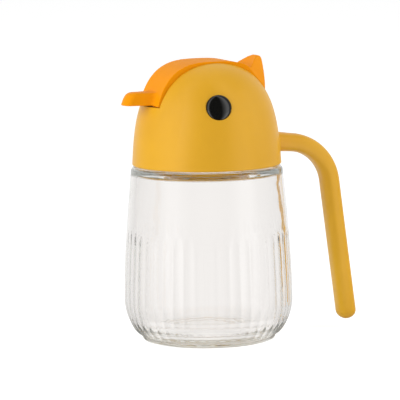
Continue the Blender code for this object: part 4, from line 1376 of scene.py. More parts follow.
@dataclass
class InnerCover:
    """The threaded skirt, flange and deck that close the head from below."""

    bore: float = 31.6
    outer: float = 34.2
    flange: float = 41.54
    bottom: float = 104.6
    flange_top: float = 106.5
    deck_bottom: float = 121.2
    deck_top: float = 123.4
    chamfer: float = 1.0
    low_edge: float = 0.4
    high_edge: float = 0.3
    columns: int = 180
    row_gap: float = 0.35
    pour_x: float = -19.5
    pour_radius: float = 6.75
    vent_x: float = 14.0
    vent_radius: float = 1.6
    thread: Thread = Thread(start=107.4, pitch=4.5, turns=1.9, height=0.55, half_width=1.4)

    def build(self) -> None:
        """Turns the cover, raises its thread, cuts the pour and vent holes and dresses it."""
        soft, low, high = self.chamfer, self.low_edge, self.high_edge
        rows = spaced([(0.0, self.deck_bottom), (self.bore - 0.4, self.deck_bottom)], 5.0)
        start = len(rows)
        rows += [(self.bore, float(height)) for height in np.arange(
            self.deck_bottom - 0.4, self.bottom + 0.5, -self.row_gap)]
        end = len(rows)
        rows += [(self.bore + 0.3, self.bottom), (self.flange - low, self.bottom)]
        rows += arc((self.flange - low, self.bottom + low), low, -70.0, 0.0, 3)
        rows += arc((self.flange - high, self.flange_top - high), high, 0.0, 90.0, 3)
        rows += arc((self.outer + soft, self.flange_top + soft), soft, 270.0, 180.0, 4)
        rows += arc((self.outer - soft, self.deck_top - soft), soft, 0.0, 90.0, 5)
        rows += spaced([(self.outer - 3.0, self.deck_top), (0.0, self.deck_top)], 5.0)
        cover = lathe("cap_inner_cover", rows, self.columns)
        # The thread stands into the bore, so its rise is negative
        mark_rows(cover, "threaded", start, end, -1.0)
        self.thread.cut(cover, YELLOW)
        below, above = self.deck_bottom - 1.0, self.deck_top + 1.0
        pour = rod_tool((self.pour_x, 0.0, below), (self.pour_x, 0.0, above), self.pour_radius, 64)
        vent = rod_tool((self.vent_x, 0.0, below), (self.vent_x, 0.0, above), self.vent_radius)
        combine(cover, Joinery.CUT, pour, vent)
        place_piece(cover, YELLOW, Body.HEAD, Slot.YELLOW, "inner_cover")


@dataclass
class NeckGasket:
    """The silicone ring between the lip of the glass and the deck, with two sealing beads."""

    inner: float = 26.9
    outer: float = 30.9
    bottom: float = 119.3
    top: float = 120.9
    rounding: float = 0.35
    bead: float = 0.2
    bead_shares: tuple[float, float] = (0.68, 0.32)
    columns: int = 144

    def beads(self, height: float, way: float) -> Outline:
        """Outlines both sealing beads of one face.

        Args:
            height: The height of the face.
            way: 1 for the upper face, -1 for the lower one.

        Returns:
            The rows, in the outline's order.
        """
        rows = []
        reach = way * self.bead
        for share in self.bead_shares[::int(way)]:
            middle = self.inner + (self.outer - self.inner) * share
            rows += [(middle + reach * math.cos(a), height + reach * math.sin(a))
                     for a in np.linspace(0.0, math.pi, 6)]
        return rows

    def build(self) -> None:
        """Turns the ring and dresses it."""
        low, high, r = self.bottom + self.bead, self.top - self.bead, self.rounding
        rows = arc((self.outer - r, high - r), r, 0.0, 90.0, 4) + self.beads(high, 1.0)
        rows += arc((self.inner + r, high - r), r, 90.0, 180.0, 4)
        rows += arc((self.inner + r, low + r), r, 180.0, 270.0, 4) + self.beads(low, -1.0)
        rows += arc((self.outer - r, low + r), r, 270.0, 360.0, 4)
        ring = lathe("lip_gasket", rows, self.columns, loop=True)
        place_piece(ring, SILICONE, Body.COLLAR, Slot.SILICONE, "neck_gasket")


@dataclass
class PourSpout:
    """The pouring tube from the deck into the beak, cut open to a gutter at its lip."""

    base_x: float = -19.5
    radius: float = 6.5
    wall: float = 1.05
    bottom: float = 121.5
    flange_bottom: float = 123.7
    flange: float = 1.5
    flange_radius: float = 9.2
    bend: float = 14.6
    level: float = 143.375
    half_height: float = 2.275
    tip_half_width: float = 4.2
    tip_x: float = -45.5
    gutter: float = 9.0
    ring_points: int = 64

    def stations(self) -> list[tuple[Vector, Vector]]:
        """Centre and direction of each section from the deck to the lip.

        Returns:
            Each section's centre and direction.
        """
        made = [(Vector((self.base_x, 0.0, z)), UP)
                for z in np.linspace(self.bottom, self.level - self.bend - 0.6, 6)]
        turn = Vector((self.base_x - self.bend, 0.0, self.level - self.bend))
        for angle in np.radians(np.linspace(0.0, 90.0, 31)):
            centre = turn + self.bend * Vector((math.cos(angle), 0.0, math.sin(angle)))
            made.append((centre, Vector((-math.sin(angle), 0.0, math.cos(angle)))))
        for x in np.linspace(turn.x - 1.0, self.tip_x, 10):
            made.append((Vector((float(x), 0.0, self.level)), Vector((-1.0, 0.0, 0.0))))
        return made

    def rings(self, inset: float) -> list[list[Vector]]:
        """Oval rings along the spout, narrowing from the round base to the flat lip.

        Args:
            inset: How far the rings lie inside the tube's outer face.

        Returns:
            The rings.
        """
        stations = self.stations()
        lengths = [0.0]
        for before, after in zip(stations, stations[1:]):
            lengths.append(lengths[-1] + (after[0] - before[0]).length)
        made = []
        for index, (centre, ahead) in enumerate(stations):
            share = smooth_step((lengths[index] - lengths[5]) / (lengths[-6] - lengths[5]))
            wide = self.radius + (self.tip_half_width - self.radius) * share - inset
            tall = self.radius + (self.half_height - self.radius) * share - inset
            reach = 0.0
            if inset > 0.0:
                # The bore runs out past both ends
                reach = {0: -1.0, len(stations) - 1: 1.0}.get(index, 0.0)
            across = Vector((0.0, 1.0, 0.0))
            rise = ahead.cross(across)
            middle = centre + ahead * reach
            made.append([middle + across * (wide * math.cos(a)) + rise * (tall * math.sin(a))
                         for a in np.arange(self.ring_points) * TURN / self.ring_points])
        return made

    def build(self) -> None:
        """Lofts the tube, adds its flange, hollows it, opens the gutter and dresses it."""
        tube = loft("pouring_tube", self.rings(0.0))
        rows = [(0.0, 0.0), (self.flange_radius - 0.3, 0.0), (self.flange_radius, 0.3),
                (self.flange_radius, self.flange - 0.5), (self.flange_radius - 0.5, self.flange),
                (0.0, self.flange)]
        collar = lathe("collar", rows, 96)
        collar.data.transform(Matrix.Translation((self.base_x, 0.0, self.flange_bottom)))
        combine(tube, Joinery.ADD, collar)
        top = self.level + self.half_height
        ahead, rear = self.tip_x - 1.0, self.tip_x + self.gutter
        slope = [(ahead, self.level), (rear - 2.0, top - self.wall - 0.4), (rear, top + 1.0),
                 (ahead, top + 1.0)]
        combine(tube, Joinery.CUT, loft("bore", self.rings(self.wall)),
                prism("gutter", slope, 2.0 * self.radius))
        place_piece(tube, NATURAL, Body.HEAD, Slot.WHITE, "pour_spout")


# The handle

@dataclass(frozen=True)
class Screw:
    """A threaded screw along +X with a cross recess, its head's underside at the origin."""

    radius: float = 1.25
    core_share: float = 0.8
    head_radius: float = 2.5
    head_height: float = 1.7
    length: float = 13.0
    columns: int = 32
    row_gap: float = 0.16
    recess_half: tuple[float, float] = (1.5, 0.3)
    recess_share: float = 0.6
    thread: Thread = Thread(
        start=0.8, pitch=1.0, turns=9.0, height=0.25, half_width=0.42, fade_turns=0.3)
    # The head's rows as shares of its radius and height
    head_rows: tuple[tuple[float, float], ...] = (
        (0.0, -1.0), (0.5, -1.0), (0.8, -0.86), (0.95, -0.6), (1.0, -0.3), (1.0, -0.1), (0.96, 0.0))

    def build(self) -> Object:
        """Turns the screw, raises its thread, cuts its recess and lays it along +X.

        Returns:
            The screw.
        """
        length, core = self.length, self.core_share * self.radius
        rows = [(wide * self.head_radius, high * self.head_height) for wide, high in self.head_rows]
        rows.append((core + 0.2, 0.0))
        start = len(rows)
        rows += [(core, float(height)) for height in np.arange(0.3, length - 2.0, self.row_gap)]
        end = len(rows)
        rows += [(0.7 * core, length - 1.0), (0.15, length), (0.0, length)]
        made = lathe("screw", rows, self.columns)
        mark_rows(made, "threaded", start, end)
        self.thread.cut(made, STEEL)
        half, thin = self.recess_half
        deep = -(1.0 - self.recess_share) * self.head_height
        for turn in (0.0, 0.5 * math.pi):
            arm = box_tool((-half, -thin, -self.head_height - 0.5), (half, thin, deep))
            arm.data.transform(Matrix.Rotation(turn, 4, "Z"))
            combine(made, Joinery.CUT, arm)
        made.data.transform(Matrix.Rotation(0.5 * math.pi, 4, "Y"))
        return made


@dataclass
class SideHandle:
    """The yellow bar that leaves the head, bends down and ends free, with its two hidden screws."""

    dome: Dome = Dome()
    half_depth: float = 5.5
    half_width: float = 6.8
    height: float = 11.0
    arm: float = 11.5
    droop: float = 6.0
    bend_radius: float = 27.5
    lean: float = 7.3
    grip: float = 80.4
    power: float = 2.6
    root_scale: float = 1.06
    fillet: float = 2.4
    fillet_share: float = 0.92
    seat_gap: float = 0.08
    ring_points: int = 72
    screw: Screw = Screw()
    wall: float = 3.0

    def screw_seat(self) -> float:
        """Where the screws' heads bear inside the head.

        Returns:
            The place along X.
        """
        upper = SCREW_HEIGHTS[1] - self.dome.rim + self.screw.head_radius
        wall = self.dome.radius_at(upper, -self.wall)
        return math.sqrt(wall ** 2 - self.screw.head_radius ** 2) - 0.5

    def stations(self) -> list[tuple[Vector, Vector, float]]:
        """Centre, direction and scale of each section from inside the dome to the free end.

        Returns:
            Each section's centre, direction and scale.
        """
        droop, lean = math.radians(self.droop), math.radians(90.0 - self.lean)
        root = self.dome.radius_at(self.height)
        first = Vector((math.cos(droop), 0.0, -math.sin(droop)))
        start = Vector((root, 0.0, self.dome.rim + self.height)) + first * self.arm
        centre = start + Vector((-math.sin(droop), 0.0, -math.cos(droop))) * self.bend_radius
        made = []
        # Sections lie close where the root's fillet curves
        for along in np.concatenate((np.linspace(-3.0, 4.0, 36), np.linspace(4.4, self.arm, 10))):
            scale = self.root_scale + (1.0 - self.root_scale) * smooth_step(along / self.arm)
            made.append((start + first * float(along - self.arm), first, scale))
        for angle in np.linspace(droop, lean, 49)[1:]:
            ahead = Vector((math.cos(angle), 0.0, -math.sin(angle)))
            outward = Vector((math.sin(angle), 0.0, math.cos(angle)))
            made.append((centre + outward * self.bend_radius, ahead, 1.0))
        last, ahead, _ = made[-1]
        for along in np.linspace(0.0, self.grip, 31)[1:]:
            made.append((last + ahead * float(along), ahead, 1.0))
        end = made[-1][0]
        for angle in np.radians(np.linspace(0.0, 88.5, 18)[1:]):
            made.append((end + ahead * self.half_depth * math.sin(angle), ahead, math.cos(angle)))
        return made

    def flare(self, point: Vector) -> float:
        """How far the root's fillet stands out at a point beside the bar.

        Args:
            point: The point.

        Returns:
            The distance.
        """
        away = math.hypot(point.x, point.y) - self.dome.radius_at(point.z - self.dome.rim)
        if away > self.fillet:
            return 0.0
        inside = self.fillet - max(away, 0.0)
        return self.fillet - math.sqrt(
            max(0.0, self.fillet ** 2 - (self.fillet_share * inside) ** 2))

    def bar(self) -> Object:
        """The bar with its filleted root, seated on the dome and drilled for the screws.

        Returns:
            The bar.
        """
        rings = []
        for centre, ahead, scale in self.stations():
            outward = Vector((-ahead.z, 0.0, ahead.x))
            ring = []
            for angle in (np.arange(self.ring_points) + 0.5) * TURN / self.ring_points:
                up = signed_power(math.sin(angle), 2.0 / self.power)
                side = signed_power(math.cos(angle), 2.0 / self.power)
                flat = outward * (self.half_depth * scale * up)
                wide = Vector((0.0, self.half_width * scale * side, 0.0))
                point = centre + flat + wide
                if point.x < self.dome.radius + self.fillet and scale > 1.0:
                    point += (flat + wide).normalized() * self.flare(point)
                ring.append(point)
            rings.append(ring)
        bar = loft("handle_bar", rings)
        seat = [(0.0, self.dome.rim - 1.0), (self.dome.radius + self.seat_gap, self.dome.rim - 1.0)]
        seat += self.dome.profile(self.seat_gap, 100)
        combine(bar, Joinery.CUT, lathe("seat", seat, 288))
        start = self.screw_seat()
        end = start + self.screw.length + 0.3
        for height in SCREW_HEIGHTS:
            combine(bar, Joinery.CUT, rod_tool(
                (start, 0.0, height), (end, 0.0, height), SCREW_HOLE))
        return bar

    def screws(self) -> Object:
        """Both screws, set on their points by a tree.

        Returns:
            One object that holds both.
        """
        seat = self.screw_seat()
        screw = self.screw.build()
        rule = Rule.start("screws_on_points", {"Lower Turn": 0.4, "Upper Turn": 1.1})
        tree = rule.tree
        given = add_node(tree, "NodeGroupInput")
        cloud = add_node(tree, "GeometryNodeMeshToPoints", {"Mesh": given.outputs["Geometry"]})
        rank = add_node(tree, "GeometryNodeInputIndex").outputs[0]
        turn = add_node(tree, "ShaderNodeMix", {
            "Factor": rank, "A": given.outputs["Lower Turn"], "B": given.outputs["Upper Turn"]})
        about = add_node(tree, "ShaderNodeCombineXYZ", {0: turn.outputs[0]})
        source = add_node(tree, "GeometryNodeObjectInfo", {"Object": screw})
        spread = add_node(tree, "GeometryNodeInstanceOnPoints", {
            "Points": cloud.outputs[0], "Instance": source.outputs["Geometry"],
            "Rotation": about.outputs[0]})
        places = [(seat, 0.0, height) for height in SCREW_HEIGHTS]
        made = rule.run(new_object("handle_screws", places, []), spread.outputs[0], STEEL)
        bpy.data.objects.remove(screw)
        return made

    def build(self) -> None:
        """Makes the bar and its screws and dresses them."""
        place_piece(self.bar(), YELLOW, Body.HEAD, Slot.YELLOW, "handle")
        place_piece(self.screws(), STEEL, Body.HEAD, Slot.STEEL, "handle_screw_lower",
                    "handle_screw_upper")


# The flip lid

@dataclass
class FlipLid:
    """The orange lid with beak, strip and crest, its pin, its counterweight, plug and seal."""

    form: LidForm = LidForm()
    rear: float = 24.0
    sheet: float = 2.2
    flange: float = 5.5
    side_wall: float = 1.6
    beak_reach: float = 52.7
    beak_bottom: float = 141.0
    beak_height: float = 7.5
    beak_half_width: float = 7.9
    beak_tip_length: float = 5.0
    beak_tip_share: float = 0.8
    beak_tip_power: float = 0.8
    beak_slope: float = 4.4
    beak_flare: float = 3.4
    beak_root_depth: float = 5.0
    beak_wall: float = 1.4
    ceiling: float = 147.1
    crest_x: float = 35.0
    crest_start: float = 23.0
    crest_peak_x: float = 31.8
    crest_peak: float = 167.1
    crest_peak_half: float = 3.8
    crest_wall: float = 2.0
    crest_rounding: float = 2.7
    crest_foot: float = 145.0
    crest_front_drop: float = 1.6
    crest_side_drop: float = 8.5
    crest_lead: float = 3.0
    crest_least_rounding: float = 0.8
    shaver_reach: float = 40.0
    shaver_height: float = 15.0
    shaver_overlap: float = 0.2
    ramp_ease: float = 0.38
    lug_radius: float = 3.8
    lug_width: float = 2.6
    pin_radius: float = 1.25
    pin_half: float = 19.3
    pin_chamfer: float = 0.3
    knurl_depth: float = 0.06
    knurl_gap: float = 0.2
    pocket_low: tuple[float, float, float] = (24.1, -9.3, 135.0)
    pocket_high: tuple[float, float, float] = (31.5, 9.3, 148.0)
    pocket_wall: float = 1.5
    rib_height: float = 9.5
    gap: float = 0.3
    slug_height: float = 11.0
    plug: float = 1.4
    seal_top: float = 146.8
    seal_thickness: float = 0.85
    seal_half: float = 4.2
    seal_front: float = -45.5
    seal_lip: float = 0.8
    grid: float = 0.36
    # Where the softening of the beak's root and of its edges sets in, and over what reach
    root_low: tuple[float, float] = (141.6, 2.0)
    root_ahead: tuple[float, float] = (-45.5, 4.0)
    root_behind: tuple[float, float] = (-28.0, -3.0)
    root_beside: tuple[float, float] = (13.8, -1.5)
    edge_low: tuple[float, float] = (142.4, 1.5)
    edge_behind: tuple[float, float] = (-36.0, -3.0)
    # Up the beak: the height, how far the tip draws back and the half width, each as a share
    levels: tuple[tuple[float, float, float], ...] = (
        (0.0, 0.0, 1.0), (0.12, 0.05, 1.0), (0.5, 0.3, 0.99), (0.78, 0.58, 0.96), (0.93, 0.9, 0.9),
        (1.0, 1.35, 0.8))

    def beak_outline(self, tip: float, half_width: float, root: float, flare: float) -> Outline:
        """Plan outline of the beak at one level, round its tip from one side to the other.

        Args:
            tip: The tip's place along X.
            half_width: Half of the beak's width.
            root: Where the beak leaves the strip, along X.
            flare: The radius of the fillet there.

        Returns:
            The outline.
        """
        points = [(root + self.beak_root_depth, half_width + flare)]
        for angle in np.radians(np.linspace(0.0, 90.0, 13)):
            points.append((root - flare + flare * math.cos(angle),
                           half_width + flare - flare * math.sin(angle)))
        start = min(tip + self.beak_tip_length, root - flare - 0.01)
        tip_half = half_width * self.beak_tip_share
        for angle in np.radians(np.linspace(0.0, 90.0, 25)):
            points.append((start - (start - tip) * math.sin(angle) ** self.beak_tip_power,
                           tip_half * max(0.0, math.cos(angle)) ** self.beak_tip_power))
        return points + [(x, -y) for x, y in points[-2::-1]]

    def beak(self) -> Object:
        """The solid beak, swept up through its levels to a rounded top.

        Returns:
            The beak.
        """
        rises, slopes, widths = zip(*self.levels)
        rings = []
        for rise in np.sin(np.linspace(0.0, 0.5 * math.pi, 22)):
            height = self.beak_bottom + self.beak_height * float(rise)
            tip = -self.beak_reach + self.beak_slope * float(np.interp(rise, rises, slopes))
            half = self.beak_half_width * float(np.interp(rise, rises, widths))
            outline = self.beak_outline(tip, half, self.form.front_at(height), self.beak_flare)
            rings.append([Vector((x, y, height)) for x, y in outline])
        return loft("beak", rings)

    def crest_side(self) -> tuple[Vector, Vector, Vector, float]:
        """The plane of the crest's side, which leans inwards from a line in the side view.

        Returns:
            A point on the line, the line's direction, the way up from it, and the lean on that way.
        """
        front = self.form.height_at(self.crest_start) - self.crest_front_drop
        start = Vector((self.crest_start, front))
        foot = Vector((self.crest_x, self.form.pivot[1] - self.crest_side_drop))
        along = (foot - start).normalized()
        normal = Vector((-along.y, along.x))
        peak = Vector((self.crest_peak_x, self.crest_peak))
        lean = (self.form.half_width - self.crest_peak_half) / (peak - start).dot(normal)
        return start, along, normal, lean

    def crest_half_width(self, x: float, z: float, inset: float) -> float:
        """Half width of the crest at a place in its side view."""
        start, _, normal, lean = self.crest_side()
        return self.form.half_width - lean * max(0.0, (Vector((x, z)) - start).dot(normal)) - inset

    def crest_shavers(self, inset: float) -> list[Object]:
        """Wedges that plane both sides of the crest and the strip in front of it.

        Args:
            inset: How far inside the outer faces they cut.

        Returns:
            The wedges.
        """
        start, along, normal, lean = self.crest_side()
        long, high, far = self.shaver_reach, self.shaver_height, self.form.half_width + 3.0
        # The wedge starts a little below the line, because planes that only touch leave flaps
        low = -self.shaver_overlap
        wedges = []
        for side in Side:
            rings = []
            for reach, away in ((-long, low), (long, low), (long, high), (-long, high)):
                place = start + along * reach + normal * away
                near = self.form.half_width - inset - lean * away
                rings.append([(place.x, side.value * y, place.y) for y in (near, far)])
            wedges.append(loft("wedge", list(zip(*rings))))
        return wedges

    def crest(self, inset: float, bottom: float) -> Object:
        """The crest, or its hollow with an inset: a ramp up from the strip, with a steep back.

        Args:
            inset: How far its faces are moved inwards.
            bottom: The height of its flat underside.

        Returns:
            The solid.
        """
        peak, back, start = self.crest_peak - inset, self.crest_x - inset, self.crest_start
        foot = self.form.height_at(start) - inset
        lead = start - self.crest_lead
        outline = [(lead, bottom), (lead, self.form.height_at(lead) - inset)]
        for share in np.linspace(0.0, 1.0, 15):
            eased = share + self.ramp_ease * (smooth_step(float(share)) - share)
            outline.append((start + (self.crest_peak_x - start) * share,
                            foot + (peak - foot) * eased))
        rounding = max(self.crest_rounding - inset, self.crest_least_rounding)
        outline += arc((back - rounding, peak - rounding), rounding, 75.0, 0.0, 8)
        outline += [(back, float(z)) for z in np.linspace(peak - rounding, bottom, 12)[1:]]
        rings = []
        for side in np.linspace(-1.0, 1.0, 17):
            y = float(side) * (self.form.half_width - inset)
            # Seen from above, the back is round about the bottle's axis
            fall = self.crest_x * (1.0 - math.sqrt(1.0 - (y / self.crest_x) ** 2))
            rings.append([(x - fall * smooth_step((x - start) / (back - start)), y, z)
                          for x, z in outline])
        return loft("crest", rings)

    def root_weight(self, points: np.ndarray) -> np.ndarray:
        """Full where the beak grows out of the strip, nothing at the beak's sharp lower edge.

        Args:
            points: The skin's points.

        Returns:
            Each point's share of the way.
        """
        x, y, z = points.T
        return (HALF_STEP * faded(z, *self.root_low) * faded(x, *self.root_ahead)
                * faded(x, *self.root_behind) * faded(np.abs(y), *self.root_beside))

    def beak_weight(self, points: np.ndarray) -> np.ndarray:
        """The beak above its lower edge, whose upper edges are soft."""
        x, _, z = points.T
        return HALF_STEP * faded(z, *self.edge_low) * faded(x, *self.edge_behind)

    def outside(self) -> Object:
        """The lid's outer form as a solid with softened edges and a filleted root of the beak.

        Returns:
            The solid.
        """
        outer = self.form.curve(0.0, self.form.front_height, self.rear, 160)
        inner = self.form.curve(self.flange, self.form.front_height, self.rear, 60)
        lid = prism("flip_lid_shell", outer + inner[::-1], self.form.half_width)
        combine(lid, Joinery.ADD, self.beak(), self.crest(0.0, self.crest_foot))
        combine(lid, Joinery.CUT, *self.crest_shavers(0.0))
        remesh(lid, self.grid)
        soften(lid, 40, self.root_weight)
        soften(lid, 8, self.beak_weight)
        soften(lid, 3, everywhere)
        return lid

    def lug(self, side: Side) -> Object:
        """A hinge lug with the web that carries it.

        Args:
            side: The side of the head.

        Returns:
            The lug.
        """
        x, z = self.form.pivot
        radius, face = self.lug_radius, self.form.half_width - 0.2
        low, high = side.between(face - self.lug_width, face)
        top = self.form.height_at(x + radius) - 0.5 * self.sheet
        return combine(rod_tool((x, low, z), (x, high, z), radius, 64), Joinery.ADD,
                       box_tool((x - radius, low + 0.01, z), (x + radius, high - 0.01, top)))

    def pocket(self) -> list[Object]:
        """The counterweight's pocket and the two ribs that carry it from the crest.

        Returns:
            The block and the ribs.
        """
        low, high, wall = self.pocket_low, self.pocket_high, self.pocket_wall
        made = [soft_block("pocket", (low[0] - wall, low[1] - wall, low[2] + 0.05),
                           (high[0] + wall + 0.2, high[1] + wall, high[2] + wall), 0.6)]
        top = high[2] + self.rib_height
        reach = min(high[1], self.crest_half_width(high[0], top, self.crest_wall))
        for side in Side:
            near, far = side.between(reach - wall, reach)
            made.append(box_tool((low[0] + wall, near, high[2] + 0.5 * wall), (high[0], far, top)))
        return made

    def moulding(self) -> Object:
        """The lid as one hollow moulding.

        Returns:
            The moulding.
        """
        form = self.form
        lid = self.outside()
        below = form.front_height - 1.0
        under = form.curve(self.sheet, below, self.rear, 80) + [(self.rear, below)]
        hollow = prism("hollow", under, form.half_width - self.side_wall)
        combine(hollow, Joinery.CUT, *self.crest_shavers(self.side_wall))
        crest_hollow = self.crest(self.crest_wall, self.crest_foot - 1.0)
        combine(crest_hollow, Joinery.CUT, *self.crest_shavers(self.crest_wall))
        tip = -(self.beak_reach - self.beak_slope - self.beak_wall + 0.9)
        root = form.front_at(form.front_height) + 6.0
        room = self.beak_outline(tip, self.beak_half_width - self.beak_wall, root, 0.4)
        cavity = slab("cavity", room, below, self.ceiling)
        combine(lid, Joinery.CUT, hollow, crest_hollow, cavity)
        combine(lid, Joinery.ADD, *(self.lug(side) for side in Side), *self.pocket())
        x, z = form.pivot
        reach = form.half_width + 1.0
        low = (*self.pocket_low[:2], self.pocket_low[2] - 1.0)
        return combine(lid, Joinery.CUT, box_tool(low, self.pocket_high), rod_tool(
            (x, -reach, z), (x, reach, z), self.pin_radius + self.gap))

    def fitted(self, name: str, gap: float, bottom: float, top: float, rounding: float) -> Object:
        """A rounded block that fills the pocket in plan but for a gap all round.

        Args:
            name: The object's name.
            gap: The gap.
            bottom: The height of its underside.
            top: The height of its upper face.
            rounding: How much the edges are rounded.

        Returns:
            The block.
        """
        low, high = self.pocket_low, self.pocket_high
        return soft_block(name, (low[0] + gap, low[1] + gap, bottom),
                          (high[0] - gap, high[1] - gap, top), rounding)

    def slug(self) -> Object:
        """The steel counterweight, sawn from bar, with broken edges and a centre mark.

        Returns:
            The counterweight.
        """
        top = self.pocket_high[2] - self.gap
        base = top - self.slug_height
        middle = 0.5 * (self.pocket_low[0] + self.pocket_high[0])
        mark = rod_tool((middle, 0.0, base - 0.5), (middle, 0.0, base + 0.5), 1.2)
        return combine(self.fitted("steel_slug", self.gap, base, top, 0.4), Joinery.CUT, mark)

    def plate(self) -> Object:
        """The plug that closes the pocket, with a shallow recess in its outer face.

        Returns:
            The plug.
        """
        low = self.pocket_low[2]
        made = self.fitted("pocket_plug", self.gap, low, low + self.plug, 0.3)
        return combine(made, Joinery.CUT, self.fitted("recess", 1.3, low - 1.0, low + 0.5, 0.3))

    def pad(self) -> Object:
        """The silicone pad under the beak's roof, with a raised sealing lip round its face.

        Returns:
            The pad.
        """
        front, rear, half = self.seal_front, self.form.front_at(self.ceiling) + 0.5, self.seal_half
        bottom = self.seal_top - self.seal_thickness
        inset = self.seal_lip
        made = soft_block("beak_seal", (front, -half, bottom), (rear, half, self.seal_top), 0.25)
        return combine(made, Joinery.CUT, soft_block(
            "recess", (front + inset, -half + inset, bottom - 0.6),
            (rear - inset, half - inset, bottom + 0.2), 0.15))

    def pin(self) -> Object:
        """The hinge pin, with chamfered ends and a knurled band that grips its boss.

        Returns:
            The pin.
        """
        half, radius, soft = self.pin_half, self.pin_radius, self.pin_chamfer
        rows = [(0.0, -half), (radius - soft, -half), (radius, -half + soft)]
        band = -half + 2.0 * soft
        rows += [(radius - self.knurl_depth * (step % 2), band + self.knurl_gap * step)
                 for step in range(9)]
        rows += [(radius, half - soft), (radius - soft, half), (0.0, half)]
        made = lathe("lid_pin", rows, 40)
        made.data.transform(Matrix.Translation((self.form.pivot[0], 0.0, self.form.pivot[1]))
                            @ Matrix.Rotation(0.5 * math.pi, 4, "X"))
        return made

    def build(self) -> None:
        """Makes the lid and everything that it carries and dresses them."""
        place_piece(self.moulding(), ORANGE, Body.LID, Slot.ORANGE, "flip_lid")
        place_piece(self.slug(), STEEL, Body.LID, Slot.STEEL, "counterweight")
        place_piece(self.plate(), NATURAL, Body.LID, Slot.WHITE, "weight_plug")
        place_piece(self.pad(), SILICONE, Body.LID, Slot.SILICONE, "spout_seal")
        place_piece(self.pin(), STEEL, Body.HEAD, Slot.STEEL, "hinge_pin")


# The studio

@dataclass(frozen=True)
class Softbox:
    """A rectangular lamp. Places and sizes in metres."""

    name: str
    place: tuple[float, float, float]
    width: float
    height: float
    watts: float
    aim: tuple[float, float, float] = (0.0, 0.0, 0.1)

    def build(self) -> None:
        """Hangs the lamp and turns it to what it lights."""
        lamp = bpy.data.lights.new(self.name, "AREA")
        lamp.shape = "RECTANGLE"
        lamp.size, lamp.size_y, lamp.energy = self.width, self.height, self.watts
        made = bpy.data.objects.new(self.name, lamp)
        made.location = self.place
        way = Vector(self.aim) - Vector(self.place)
        made.rotation_euler = way.to_track_quat("-Z", "Y").to_euler()
        # Gloss and glass show the softer painted panels of the surroundings instead: painted
        # reflections in place of the lamps
        made.visible_glossy = made.visible_transmission = False
        bpy.context.scene.collection.objects.link(made)


